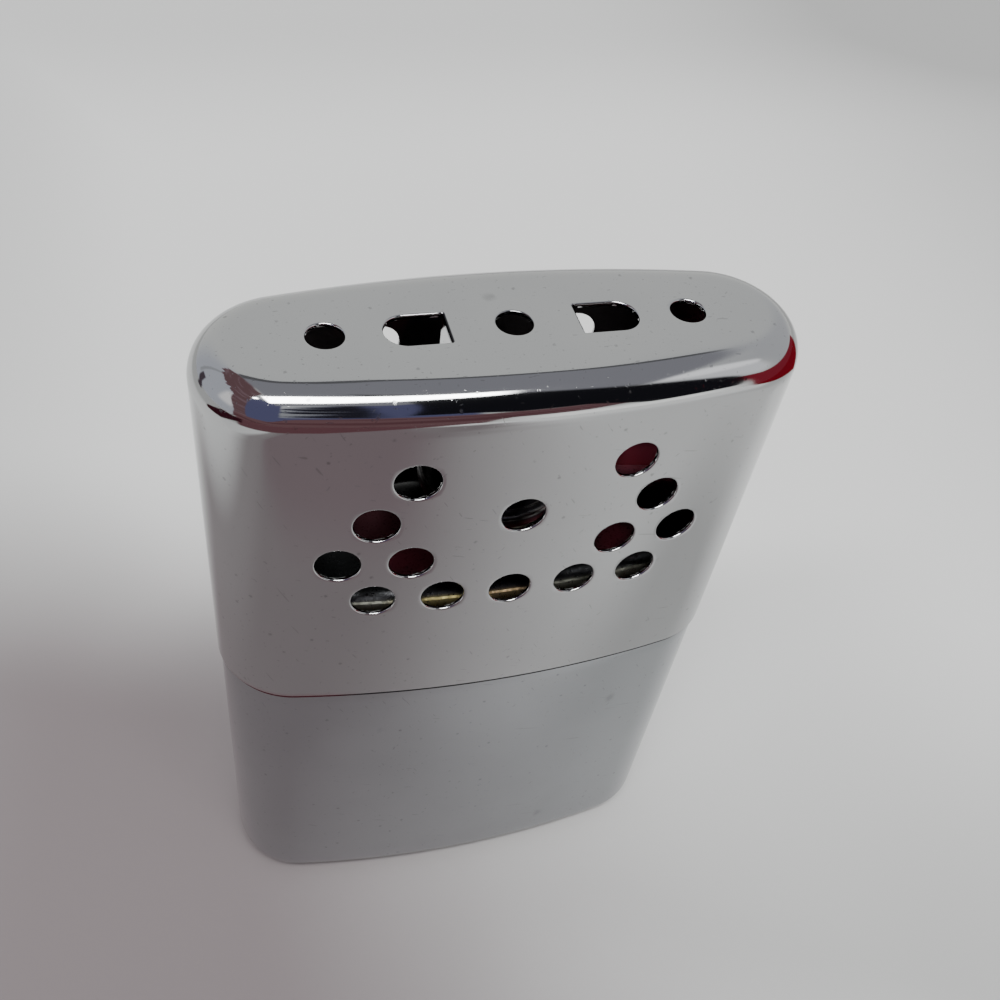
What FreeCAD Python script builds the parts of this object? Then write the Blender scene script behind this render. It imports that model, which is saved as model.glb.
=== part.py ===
"""Catalytic hand warmer: a flat fuel tank, a lift-off catalytic burner on the tank's neck,
and a slip-over cover with air vents. Millimetres, +Z up, the origin under the centre of the
tank's bottom, the front face towards -Y."""

import FreeCAD, Part
import math
import os
import Sketcher

# Driving dimensions: alias, millimetres (counts are plain numbers), meaning.
SIZES = (
    ("overall_width", 67.0, "across the two rounded ends of the cover"),
    ("overall_depth", 24.0, "front to back of the cover at its middle"),
    ("overall_height", 99.0, "floor to the cover's top"),
    ("end_radius", 10.1, "plan radius of the cover's rounded ends"),
    ("cover_height", 48.5, "cover, from its open edge to its top"),
    ("cover_sheet", 0.5, "sheet thickness of the cover"),
    ("cover_edge_radius", 4.4, "outside radius round the cover's top"),
    ("lip_radius", 0.18, "rounding of the cover's open edge"),
    ("seat_gap", 0.05, "gap left between pieces that rest on each other"),
    ("solder_gap", 0.05, "gap left in soldered and pressed joints"),
    ("soft_gap", 0.3, "room left round the wick and the wadding"),
    ("vent_radius", 2.48, "round vents in both broad faces"),
    ("vent_column_pitch", 4.0, "sideways step of the vent grid"),
    ("vent_row_pitch", 6.3, "height step of the vent grid"),
    ("vent_top_row_drop", 10.6, "from the cover's top down to its first row of vents"),
    ("top_vent_radius", 1.98, "round vents in the cover's top"),
    ("top_vent_offset", 19.8, "from the middle to an outer top vent"),
    ("slot_flat_offset", 7.2, "from the middle to the flat end of a top slot"),
    ("slot_round_offset", 11.5, "from the middle to the centre of a slot's round end"),
    ("slot_radius", 2.4, "half width of a top slot"),
    ("tab_bend_radius", 0.4, "outer rounding where a tab bends down"),
    ("tank_step", 0.35, "how far the tank's side lies inside the cover's side"),
    ("tank_sheet", 0.5, "sheet thickness of the tank's lower shell"),
    ("tank_edge_radius", 4.0, "outside radius round the tank's bottom"),
    ("deck_rise", 17.0, "from the cover's open edge up to the tank's deck"),
    ("deck_sheet", 0.5, "sheet thickness of the tank's upper shell"),
    ("deck_overlap", 8.0, "how far the upper shell reaches into the lower one"),
    ("shoulder_radius", 3.5, "outside radius round the deck"),
    ("pip_radius", 1.0, "friction pips under the cover"),
    ("pip_height", 0.25, "how far a friction pip stands out"),
    ("pip_drop", 9.0, "from the deck down to the friction pips"),
    ("neck_radius", 6.0, "outside radius of the filler neck"),
    ("neck_wall", 0.5, "wall of the filler neck"),
    ("neck_height", 8.5, "filler neck above the deck"),
    ("neck_flange_radius", 7.4, "soldered flange under the deck"),
    ("neck_flange_thickness", 0.6, "soldered flange under the deck"),
    ("gasket_width", 2.0, "fibre washer round the neck"),
    ("gasket_thickness", 0.8, "fibre washer round the neck"),
    ("wick_foot_level", 24.0, "from the floor to the wick's lower end"),
    ("plug_length", 7.0, "glass wool plug on top of the wick"),
    ("screen_depth", 0.2, "from the neck's rim down to the screen's ring"),
    ("screen_ring_width", 0.8, "ring that holds the wick's screen"),
    ("screen_ring_height", 0.5, "ring that holds the wick's screen"),
    ("gauze_thickness", 0.3, "wire gauze discs"),
    ("gauze_hole_radius", 0.55, "openings of the gauze discs"),
    ("gauze_pitch", 1.7, "spacing of the gauze discs' openings"),
    ("socket_running_gap", 0.05, "radial gap between neck and burner socket"),
    ("socket_wall", 0.5, "sheet thickness of the burner socket"),
    ("socket_length", 8.0, "tube of the socket, below its tray"),
    ("finger_slot_width", 0.8, "slots that make the socket's spring fingers"),
    ("finger_slot_length", 5.0, "slots that make the socket's spring fingers"),
    ("finger_count", 4, "spring fingers of the socket"),
    ("tray_radius", 8.8, "outside radius of the socket's tray"),
    ("tray_lip_width", 0.5, "inward roll of the tray's rim over the cage's flange"),
    ("tray_edge_radius", 0.4, "rounding of the tray's outer edges"),
    ("air_hole_radius", 0.5, "air holes in the tray's floor"),
    ("air_hole_count", 12, "air holes in the tray's floor"),
    ("clamp_wire_radius", 0.4, "spring wire round the socket's fingers"),
    ("clamp_ring_rise", 2.4, "from the socket's foot to the spring wire"),
    ("clamp_ring_gap", 2.5, "opening of the spring wire"),
    ("catalyst_thickness", 4.0, "pad of catalyst wool"),
    ("cage_sheet", 0.5, "sheet thickness of the burner cage"),
    ("cage_edge_radius", 0.8, "outside radius round the cage's top"),
    ("cage_window_count", 10, "windows in the cage's side and in its top"),
    ("cage_window_width", 2.6, "side windows"),
    ("cage_window_height", 1.8, "side windows"),
    ("cage_window_drop", 1.0, "from the cage's top down to a side window"),
    ("cage_slot_inner", 2.6, "inner end of a slot in the cage's top"),
    ("cage_slot_outer", 6.2, "outer end of a slot in the cage's top"),
    ("cage_slot_width", 1.1, "slots in the cage's top"),
    ("cage_eye_radius", 1.3, "round hole in the middle of the cage's top"),
)

# Places and sizes that follow from the driving ones: alias, formula.
PLACES = (
    ("end_centre", "Sizes.overall_width / 2 - Sizes.end_radius"),
    ("half_depth", "Sizes.overall_depth / 2"),
    ("side_radius", "(end_centre ^ 2 + half_depth ^ 2 - Sizes.end_radius ^ 2)"
                    " / (2 * (half_depth - Sizes.end_radius))"),
    ("floor_level", "0"),
    ("cover_outside", "0"),
    ("tank_outside", "Sizes.tank_step"),
    ("tank_inside", "tank_outside + Sizes.tank_sheet"),
    ("deck_outside", "tank_inside + Sizes.solder_gap"),
    ("deck_inside", "deck_outside + Sizes.deck_sheet"),
    ("wadding_outside", "deck_inside + Sizes.soft_gap"),
    ("cover_edge", "Sizes.overall_height - Sizes.cover_height"),
    ("top_vent_row", "Sizes.overall_height - Sizes.vent_top_row_drop"),
    ("slot_length", "Sizes.slot_round_offset + Sizes.slot_radius - Sizes.slot_flat_offset"),
    ("tab_round_level", "Sizes.overall_height - slot_length + Sizes.slot_radius"),
    ("tank_rim", "cover_edge - Sizes.seat_gap"),
    ("deck_level", "cover_edge + Sizes.deck_rise"),
    ("deck_foot", "tank_rim - Sizes.deck_overlap"),
    ("deck_ceiling", "deck_level - Sizes.deck_sheet"),
    ("deck_hole_radius", "Sizes.neck_radius + Sizes.solder_gap"),
    ("deck_length", "deck_level - deck_foot"),
    ("pip_level", "deck_level - Sizes.pip_drop"),
    ("pip_length", "Sizes.deck_sheet / 2 + Sizes.pip_height"),
    ("face_pip_root", "half_depth - deck_outside - Sizes.deck_sheet / 2"),
    ("end_pip_root", "Sizes.overall_width / 2 - deck_outside - Sizes.deck_sheet / 2"),
    ("neck_bore", "Sizes.neck_radius - Sizes.neck_wall"),
    ("neck_rim", "deck_level + Sizes.neck_height"),
    ("neck_flange_top", "deck_ceiling - Sizes.solder_gap"),
    ("neck_flange_foot", "neck_flange_top - Sizes.neck_flange_thickness"),
    ("gasket_bore", "Sizes.neck_radius + Sizes.solder_gap"),
    ("gasket_radius", "gasket_bore + Sizes.gasket_width"),
    ("screen_radius", "neck_bore - Sizes.solder_gap"),
    ("screen_ring_foot", "neck_rim - Sizes.screen_depth - Sizes.screen_ring_height"),
    ("screen_foot", "screen_ring_foot - Sizes.seat_gap - Sizes.gauze_thickness"),
    ("screen_ring_bore", "screen_radius - Sizes.screen_ring_width"),
    ("wick_radius", "neck_bore - Sizes.soft_gap"),
    ("plug_top", "screen_foot - Sizes.seat_gap"),
    ("plug_foot", "plug_top - Sizes.plug_length"),
    ("wick_top", "plug_foot - Sizes.seat_gap"),
    ("wadding_foot", "Sizes.tank_sheet + Sizes.soft_gap"),
    ("wadding_top", "neck_flange_foot - Sizes.soft_gap"),
    ("wadding_bore", "wick_radius + Sizes.soft_gap"),
    ("socket_foot", "deck_level + Sizes.gasket_thickness + Sizes.seat_gap"),
    ("socket_bore", "Sizes.neck_radius + Sizes.socket_running_gap"),
    ("socket_radius", "socket_bore + Sizes.socket_wall"),
    ("tray_foot", "socket_foot + Sizes.socket_length"),
    ("tray_floor", "tray_foot + Sizes.socket_wall"),
    ("tray_bore", "Sizes.tray_radius - Sizes.socket_wall"),
    ("air_hole_offset", "(socket_radius + tray_bore) / 2"),
    ("clamp_level", "socket_foot + Sizes.clamp_ring_rise"),
    ("clamp_radius", "socket_radius + Sizes.solder_gap + Sizes.clamp_wire_radius"),
    ("lower_gauze_foot", "tray_floor + Sizes.seat_gap"),
    ("lower_gauze_radius", "tray_bore - Sizes.solder_gap"),
    ("cage_foot", "lower_gauze_foot + Sizes.gauze_thickness + Sizes.seat_gap"),
    ("cage_flange_radius", "tray_bore - Sizes.solder_gap"),
    ("cage_flange_top", "cage_foot + Sizes.cage_sheet"),
    ("tray_lip_foot", "cage_flange_top + Sizes.seat_gap"),
    ("tray_rim", "tray_lip_foot + Sizes.socket_wall"),
    ("tray_lip_bore", "tray_bore - Sizes.tray_lip_width"),
    ("cage_radius", "tray_lip_bore - Sizes.solder_gap"),
    ("cage_bore", "cage_radius - Sizes.cage_sheet"),
    ("catalyst_radius", "cage_bore - Sizes.solder_gap"),
    ("catalyst_foot", "cage_foot"),
    ("upper_gauze_foot", "catalyst_foot + Sizes.catalyst_thickness + Sizes.seat_gap"),
    ("cage_ceiling", "upper_gauze_foot + Sizes.gauze_thickness + Sizes.seat_gap"),
    ("cage_top", "cage_ceiling + Sizes.cage_sheet"),
    ("cage_window_top", "cage_top - Sizes.cage_window_drop"),
    ("cage_window_foot", "cage_window_top - Sizes.cage_window_height"),
)

# Columns of the vent grid that hold a vent, row by row from the top.
VENT_ROWS = ((-3, 3), (-4, 0, 4), (-5, -3, 3, 5), (-4, -2, 0, 2, 4))

FLAT = 1e-4  # how far an edge may leave a level and still lie in it

doc = FreeCAD.newDocument("hand_warmer")


def make_sheet(name, rows):
    """A spreadsheet with one named cell per row; its text is a number or a formula."""
    sheet = doc.addObject("Spreadsheet::Sheet", name)
    for number, (alias, content) in enumerate(rows, start=1):
        sheet.set(f"A{number}", alias)
        sheet.set(f"B{number}", content)
        sheet.setAlias(f"B{number}", alias)
    return sheet


make_sheet("Sizes", [(alias, str(value)) for alias, value, meaning in SIZES])
doc.recompute()
make_sheet("Places", [(alias, "=" + formula) for alias, formula in PLACES])
doc.recompute()


def number(reference):
    """Current value of a cell that an expression would call Sheet.alias."""
    sheet, alias = reference.split(".")
    return float(doc.getObject(sheet).get(alias))


def new_body(name):
    """An empty body whose label is the sub-part's name."""
    body = doc.addObject("PartDesign::Body", name)
    body.Label = name
    return body


def origin_feature(body, role):
    """One of the body's own origin planes or axes."""
    return next(item for item in body.Origin.OriginFeatures if item.Role == role)


def new_sketch(body, name, plane, offset=None):
    """A sketch on one of the body's origin planes, moved off it along the plane's normal."""
    sketch = body.newObject("Sketcher::SketchObject", name)
    sketch.AttachmentSupport = (origin_feature(body, plane), [""])
    sketch.MapMode = "FlatFace"
    if offset:
        sketch.setExpression("AttachmentOffset.Base.z", offset)
    return sketch


def bind(sketch, expression, *constraint):
    """Add a dimension to the sketch and tie it to an expression."""
    index = sketch.addConstraint(Sketcher.Constraint(*constraint))
    sketch.setExpression(f"Constraints[{index}]", expression)


def pin(sketch, geometry, point, across, up):
    """Fix a point of the sketch by two expressions; None puts it on the other axis."""
    drawn = sketch.getPoint(geometry, point)
    ways = ((across, "DistanceX", -2, drawn.x), (up, "DistanceY", -1, drawn.y))
    for expression, kind, axis, distance in ways:
        if expression is None:
            sketch.addConstraint(Sketcher.Constraint("PointOnObject", geometry, point, axis))
        else:
            bind(sketch, expression, kind, -1, 1, geometry, point, distance)


def add_circle(sketch, across, up, radius):
    """A circle whose centre and radius follow expressions."""
    circle = sketch.addGeometry(Part.Circle(FreeCAD.Vector(1, 1, 0), FreeCAD.Vector(0, 0, 1), 1))
    bind(sketch, radius, "Radius", circle, 1.0)
    pin(sketch, circle, 3, across, up)


def add_outline(sketch, corners):
    """A closed outline of straight lines through corners given as pairs of expressions."""
    count = len(corners)
    turn = 2 * math.pi / count
    start = [FreeCAD.Vector(math.cos(turn * i), math.sin(turn * i), 0) for i in range(count)]
    lines = [sketch.addGeometry(Part.LineSegment(start[i], start[(i + 1) % count])) for i in range(count)]
    for index, line in enumerate(lines):
        sketch.addConstraint(Sketcher.Constraint("Coincident", line, 2, lines[(index + 1) % count], 1))
    for line, (across, up) in zip(lines, corners):
        pin(sketch, line, 1, across, up)


def oval_sketch(body, name, inset, level):
    """The flattened oval plan of the warmer, a given inset inside the cover's outside.

    Two arcs of the end radius and two of the side radius run into each other smoothly, and
    every inset oval has the same four centres."""
    sketch = new_sketch(body, name, "XY_Plane", level)
    centre = number("Places.end_centre")
    side_radius = number("Places.side_radius") - number(f"Places.{inset}")
    side_centre = number("Places.side_radius") - number("Places.half_depth")
    end_radius = side_radius - math.hypot(centre, side_centre)
    lean = math.atan2(side_centre, centre)
    arcs = (
        (centre, 0, end_radius, -lean, lean),
        (0, -side_centre, side_radius, lean, math.pi - lean),
        (-centre, 0, end_radius, math.pi - lean, math.pi + lean),
        (0, side_centre, side_radius, math.pi + lean, 2 * math.pi - lean),
    )
    for x, y, radius, start, end in arcs:
        circle = Part.Circle(FreeCAD.Vector(x, y, 0), FreeCAD.Vector(0, 0, 1), radius)
        sketch.addGeometry(Part.ArcOfCircle(circle, start, end))
    right, back, left, front = range(4)
    for arc, following in ((right, back), (back, left), (left, front), (front, right)):
        sketch.addConstraint(Sketcher.Constraint("Tangent", arc, 2, following, 1))
    pin(sketch, right, 3, "Places.end_centre", None)
    pin(sketch, left, 3, "-Places.end_centre", None)
    sketch.addConstraint(Sketcher.Constraint("PointOnObject", back, 3, -2))
    bind(sketch, f"Sizes.end_radius - Places.{inset}", "Radius", right, end_radius)
    for arc in (back, front):
        bind(sketch, f"Places.side_radius - Places.{inset}", "Radius", arc, side_radius)
    return sketch


def pad(body, sketch, name, length):
    """Add material from the sketch along its normal."""
    feature = body.newObject("PartDesign::Pad", name)
    feature.Profile = sketch
    feature.setExpression("Length", length)
    doc.recompute()
    return feature


def pocket(body, sketch, name, length=None, reverse=False, both_ways=False):
    """Cut the sketch out of the body, by a length or right through, and see that it cut."""
    before = body.Shape.Volume
    feature = body.newObject("PartDesign::Pocket", name)
    feature.Profile = sketch
    feature.Reversed = reverse
    if both_ways:
        feature.Midplane = True
    if length:
        feature.setExpression("Length", length)
    else:
        feature.Type = "ThroughAll"
    doc.recompute()
    if not body.Shape.Volume < before:
        raise RuntimeError(f"{name} cuts nothing")
    return feature


def revolve(body, name, corners):
    """Turn an outline of radius and height pairs round the vertical axis."""
    sketch = new_sketch(body, f"{name}_profile", "XZ_Plane")
    add_outline(sketch, corners)
    feature = body.newObject("PartDesign::Revolution", name)
    feature.Profile = sketch
    feature.ReferenceAxis = (sketch, ["V_Axis"])
    feature.Angle = 360
    doc.recompute()
    return feature


def round_edges(body, name, feature, radius, chosen):
    """Fillet the edges of the feature that the test picks out."""
    names = [f"Edge{i}" for i, edge in enumerate(feature.Shape.Edges, start=1) if chosen(edge.BoundBox)]
    fillet = body.newObject("PartDesign::Fillet", name)
    fillet.Base = (feature, names)
    fillet.setExpression("Radius", radius)
    doc.recompute()
    return fillet


def at_level(level):
    """A test for edges that lie in the horizontal plane at this height."""
    return lambda box: abs(box.ZMin - level) < FLAT and abs(box.ZMax - level) < FLAT


def ring_of(body, name, feature, count):
    """Repeat a feature evenly round the vertical axis."""
    pattern = body.newObject("PartDesign::PolarPattern", name)
    pattern.Originals = [feature]
    pattern.Axis = (origin_feature(body, "Z_Axis"), [""])
    pattern.Angle = 360
    pattern.setExpression("Occurrences", count)
    body.Tip = pattern
    doc.recompute()
    return pattern


def cup(body, foot, length, outside, sheet, edge_radius, opens_down):
    """A drawn oval shell of one sheet thickness, open at one end, rounded at the closed end.

    foot is its lowest level; a shell that opens down is closed at its top."""
    name = body.Name
    block = pad(body, oval_sketch(body, f"{name}_plan", outside, foot), f"{name}_block", length)
    low, high = block.Shape.BoundBox.ZMin, block.Shape.BoundBox.ZMax
    open_level, closed_level = (low, high) if opens_down else (high, low)
    rounded = round_edges(body, f"{name}_edge", block, edge_radius, at_level(closed_level))
    mouth = [f"Face{i}" for i, face in enumerate(rounded.Shape.Faces, start=1)
             if at_level(open_level)(face.BoundBox)]
    shell = body.newObject("PartDesign::Thickness", f"{name}_shell")
    shell.Base = (rounded, mouth)
    shell.Mode = "Skin"
    shell.Join = "Arc"
    shell.Reversed = True
    shell.setExpression("Value", sheet)
    doc.recompute()
    return shell


def d_sketch(body, name, plane, offset, flat, centre, half_width, down):
    """A D outline: flat end, two straight sides, half-round end away from the flat one.

    It lies along the sketch's X, or hangs down its Y; flat and centre are places along it."""
    sketch = new_sketch(body, name, plane, offset)
    radius = number(half_width)

    def spot(along, aside):
        return FreeCAD.Vector(aside, along, 0) if down else FreeCAD.Vector(along, aside, 0)

    ends = [spot(number(flat), -radius), spot(number(centre), -radius),
            spot(number(centre), radius), spot(number(flat), radius)]
    first = sketch.addGeometry(Part.LineSegment(ends[0], ends[1]))
    circle = Part.Circle(spot(number(centre), 0), FreeCAD.Vector(0, 0, 1), radius)
    start_angle = math.pi if down else -math.pi / 2
    arc = sketch.addGeometry(Part.ArcOfCircle(circle, start_angle, start_angle + math.pi))
    second = sketch.addGeometry(Part.LineSegment(ends[2], ends[3]))
    closing = sketch.addGeometry(Part.LineSegment(ends[3], ends[0]))
    for line, following in ((first, arc), (arc, second)):
        sketch.addConstraint(Sketcher.Constraint("Tangent", line, 2, following, 1))
    for line, following in ((second, closing), (closing, first)):
        sketch.addConstraint(Sketcher.Constraint("Coincident", line, 2, following, 1))
    along, aside = ("Vertical", "Horizontal") if down else ("Horizontal", "Vertical")
    for line, direction in ((first, along), (second, along), (closing, aside)):
        sketch.addConstraint(Sketcher.Constraint(direction, line))
    bind(sketch, half_width, "Radius", arc, radius)
    pin(sketch, arc, 3, *((None, centre) if down else (centre, None)))
    bind(sketch, flat, "DistanceY" if down else "DistanceX", -1, 1, closing, 1, number(flat))
    return sketch


def mirror(body, name, feature, plane):
    """Repeat a feature on the other side of one of the body's origin planes."""
    feature_copy = body.newObject("PartDesign::Mirrored", name)
    feature_copy.Originals = [feature]
    feature_copy.MirrorPlane = (origin_feature(body, plane), [""])
    body.Tip = feature_copy
    doc.recompute()
    return feature_copy


def make_cover():
    """Slip-over cover: drawn shell, vents front and back, and two lanced tabs in its top."""
    body = new_body("cover")
    shell = cup(body, "Places.cover_edge", "Sizes.cover_height", "cover_outside",
                "Sizes.cover_sheet", "Sizes.cover_edge_radius", opens_down=True)
    round_edges(body, "cover_lip", shell, "Sizes.lip_radius", at_level(number("Places.cover_edge")))

    vents = new_sketch(body, "vent_grid", "XZ_Plane")
    for row, columns in enumerate(VENT_ROWS):
        level = f"Places.top_vent_row - {row} * Sizes.vent_row_pitch"
        for column in columns:
            across = f"{column} * Sizes.vent_column_pitch" if column else None
            add_circle(vents, across, level, "Sizes.vent_radius")
    pocket(body, vents, "vents", both_ways=True)

    top_vents = new_sketch(body, "top_vent_centres", "XY_Plane", "Sizes.overall_height")
    for across in ("-Sizes.top_vent_offset", None, "Sizes.top_vent_offset"):
        add_circle(top_vents, across, None, "Sizes.top_vent_radius")
    pocket(body, top_vents, "top_vents")

    slot_sketch = d_sketch(body, "slot_outline", "XY_Plane", "Sizes.overall_height",
                           "Sizes.slot_flat_offset", "Sizes.slot_round_offset", "Sizes.slot_radius",
                           down=False)
    slot = pocket(body, slot_sketch, "slot_right")
    mirror(body, "slot_left", slot, "YZ_Plane")
    tab_sketch = d_sketch(body, "tab_outline", "YZ_Plane", "Sizes.slot_flat_offset - Sizes.cover_sheet",
                          "Sizes.overall_height", "Places.tab_round_level", "Sizes.slot_radius", down=True)
    tab = pad(body, tab_sketch, "tab_right", "Sizes.cover_sheet")
    tabs = mirror(body, "tab_left", tab, "YZ_Plane")

    bend_x = number("Sizes.slot_flat_offset")
    on_top = at_level(number("Sizes.overall_height"))

    def along_bend(box):
        return on_top(box) and box.XLength < FLAT and abs(abs(box.XMax) - bend_x) < FLAT

    round_edges(body, "tab_bends", tabs, "Sizes.tab_bend_radius", along_bend)
    return body


def make_tank_body():
    """Lower tank shell; its rim is the step that the cover's edge stops on."""
    body = new_body("tank_body")
    cup(body, "Places.floor_level", "Places.tank_rim", "tank_outside",
        "Sizes.tank_sheet", "Sizes.tank_edge_radius", opens_down=False)
    return body


def make_tank_deck():
    """Upper tank shell, soldered inside the lower one, with a neck hole and friction pips."""
    body = new_body("tank_deck")
    cup(body, "Places.deck_foot", "Places.deck_length", "deck_outside",
        "Sizes.deck_sheet", "Sizes.shoulder_radius", opens_down=True)
    neck_hole = new_sketch(body, "neck_hole_centre", "XY_Plane", "Places.deck_level")
    add_circle(neck_hole, None, None, "Places.deck_hole_radius")
    pocket(body, neck_hole, "neck_hole")
    for name, plane, root in (("face_pip", "XZ_Plane", "Places.face_pip_root"),
                                      ("end_pip", "YZ_Plane", "Places.end_pip_root")):
        sketch = new_sketch(body, f"{name}_centre", plane, root)
        add_circle(sketch, None, "Places.pip_level", "Sizes.pip_radius")
        pip = pad(body, sketch, name, "Places.pip_length")
        mirror(body, f"{name}_opposite", pip, plane)
    return body


def make_filler_neck():
    """Filler neck: a tube through the deck with a soldered flange under it."""
    body = new_body("filler_neck")
    tube = revolve(body, "neck_tube", (
        ("Places.neck_bore", "Places.neck_flange_foot"),
        ("Sizes.neck_flange_radius", "Places.neck_flange_foot"),
        ("Sizes.neck_flange_radius", "Places.neck_flange_top"),
        ("Sizes.neck_radius", "Places.neck_flange_top"),
        ("Sizes.neck_radius", "Places.neck_rim"),
        ("Places.neck_bore", "Places.neck_rim"),
    ))
    round_edges(body, "neck_lip", tube, "Sizes.lip_radius", at_level(number("Places.neck_rim")))
    return body


def make_fuel_wadding():
    """Cotton wadding that fills the tank, bored for the wick."""
    body = new_body("fuel_wadding")
    plan = oval_sketch(body, "wadding_plan", "wadding_outside", "Places.wadding_foot")
    block = pad(body, plan, "wadding_block", "Places.wadding_top - Places.wadding_foot")
    round_edges(body, "wadding_edge", block, "Sizes.shoulder_radius",
                lambda box: at_level(number("Places.wadding_foot"))(box)
                or at_level(number("Places.wadding_top"))(box))
    bore = new_sketch(body, "wadding_bore_centre", "XY_Plane", "Places.wadding_top")
    add_circle(bore, None, None, "Places.wadding_bore")
    pocket(body, bore, "wadding_bore", "Places.wadding_top - Sizes.wick_foot_level + Sizes.soft_gap")
    return body


def make_disc(name, foot, height, radius):
    """A plain round disc or rod on the vertical axis."""
    disc = doc.addObject("Part::Cylinder", name)
    disc.Label = name
    disc.setExpression("Radius", radius)
    disc.setExpression("Height", height)
    disc.setExpression("Placement.Base.z", foot)
    return disc


def make_ring(name, foot, height, radius, bore):
    """A flat ring: one disc cut out of another."""
    ring = doc.addObject("Part::Cut", name)
    ring.Label = name
    ring.Base = make_disc(f"{name}_blank", foot, height, radius)
    ring.Tool = make_disc(f"{name}_bore", foot, height, bore)
    return ring


def make_gauze(name, foot, radius):
    """A wire gauze disc, its openings drawn as rings of round holes."""
    body = new_body(name)
    plan = new_sketch(body, f"{name}_plan", "XY_Plane", foot)
    add_circle(plan, None, None, radius)
    add_circle(plan, None, None, "Sizes.gauze_hole_radius")
    pad(body, plan, f"{name}_disc", "Sizes.gauze_thickness")
    rings = int((number(radius) - 2 * number("Sizes.gauze_hole_radius")) / number("Sizes.gauze_pitch"))
    for ring in range(1, rings + 1):
        centre = new_sketch(body, f"{name}_ring_{ring}_centre", "XY_Plane", foot)
        add_circle(centre, f"{ring} * Sizes.gauze_pitch", None, "Sizes.gauze_hole_radius")
        hole = pocket(body, centre, f"{name}_ring_{ring}_hole", reverse=True)
        ring_of(body, f"{name}_ring_{ring}", hole, f"6 * {ring}")
    return body


def window_sketch(body, name, plane, offset, left, right, low, high):
    """A rectangle between four expressions."""
    sketch = new_sketch(body, name, plane, offset)
    add_outline(sketch, ((left, low), (right, low), (right, high), (left, high)))
    return sketch


def make_burner_socket():
    """Burner socket: spring fingers that grip the neck, and a tray for the catalyst."""
    body = new_body("burner_socket")
    cup_feature = revolve(body, "socket_cup", (
        ("Places.socket_bore", "Places.socket_foot"),
        ("Places.socket_radius", "Places.socket_foot"),
        ("Places.socket_radius", "Places.tray_foot"),
        ("Sizes.tray_radius", "Places.tray_foot"),
        ("Sizes.tray_radius", "Places.tray_rim"),
        ("Places.tray_lip_bore", "Places.tray_rim"),
        ("Places.tray_lip_bore", "Places.tray_lip_foot"),
        ("Places.tray_bore", "Places.tray_lip_foot"),
        ("Places.tray_bore", "Places.tray_floor"),
        ("Places.socket_bore", "Places.tray_floor"),
    ))
    wide = 2 * number("Places.tray_bore")
    round_edges(body, "tray_edges", cup_feature, "Sizes.tray_edge_radius",
                lambda box: box.ZLength < FLAT and box.XLength > wide + FLAT)
    air_centre = new_sketch(body, "air_hole_centre", "XY_Plane", "Places.tray_floor")
    add_circle(air_centre, "Places.air_hole_offset", None, "Sizes.air_hole_radius")
    air_hole = pocket(body, air_centre, "air_hole", "Sizes.socket_wall")
    ring_of(body, "air_holes", air_hole, "Sizes.air_hole_count")
    finger = window_sketch(body, "finger_slot_outline", "XZ_Plane", None,
                           "-Sizes.finger_slot_width / 2", "Sizes.finger_slot_width / 2",
                           "Places.socket_foot - Sizes.finger_slot_length",
                           "Places.socket_foot + Sizes.finger_slot_length")
    finger_slot = pocket(body, finger, "finger_slot")
    ring_of(body, "finger_slots", finger_slot, "Sizes.finger_count")
    return body


def make_clamp_ring():
    """Open spring wire that closes the socket's fingers on the neck."""
    ring = doc.addObject("Part::Torus", "socket_clamp_ring")
    ring.Label = "socket_clamp_ring"
    ring.setExpression("Radius1", "Places.clamp_radius")
    ring.setExpression("Radius2", "Sizes.clamp_wire_radius")
    ring.setExpression("Angle3", "360 - Sizes.clamp_ring_gap / Places.clamp_radius * 180 / pi")
    ring.setExpression("Placement.Base.z", "Places.clamp_level")
    return ring


def make_burner_cage():
    """Perforated cap that holds the catalyst down in the tray."""
    body = new_body("burner_cage")
    cap = revolve(body, "cage_cap", (
        ("Places.cage_bore", "Places.cage_foot"),
        ("Places.cage_flange_radius", "Places.cage_foot"),
        ("Places.cage_flange_radius", "Places.cage_flange_top"),
        ("Places.cage_radius", "Places.cage_flange_top"),
        ("Places.cage_radius", "Places.cage_top"),
        ("Sizes.cage_eye_radius", "Places.cage_top"),
        ("Sizes.cage_eye_radius", "Places.cage_ceiling"),
        ("Places.cage_bore", "Places.cage_ceiling"),
    ))
    on_top = at_level(number("Places.cage_top"))
    wide = number("Places.cage_radius")
    round_edges(body, "cage_edge", cap, "Sizes.cage_edge_radius",
                lambda box: on_top(box) and box.XLength > wide)
    side = window_sketch(body, "side_window_outline", "XZ_Plane", None,
                         "-Sizes.cage_window_width / 2", "Sizes.cage_window_width / 2",
                         "Places.cage_window_foot", "Places.cage_window_top")
    side_window = pocket(body, side, "side_window")
    ring_of(body, "side_windows", side_window, "Sizes.cage_window_count")
    top = window_sketch(body, "top_slot_outline", "XY_Plane", "Places.cage_top",
                        "Sizes.cage_slot_inner", "Sizes.cage_slot_outer",
                        "-Sizes.cage_slot_width / 2", "Sizes.cage_slot_width / 2")
    top_slot = pocket(body, top, "top_slot", "Sizes.cage_sheet")
    ring_of(body, "top_slots", top_slot, "Sizes.cage_window_count")
    return body


def check(objects):
    """Stop if any object of the document failed, or a sub-part is empty or broken."""
    for item in doc.Objects:
        if "Invalid" in item.State or "Error" in item.State:
            raise RuntimeError(f"{item.Name} failed: {item.State}")
    for item in objects:
        if item.Shape.isNull() or not item.Shape.isValid() or not item.Shape.Solids:
            raise RuntimeError(f"{item.Label} has no valid solid")


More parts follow.
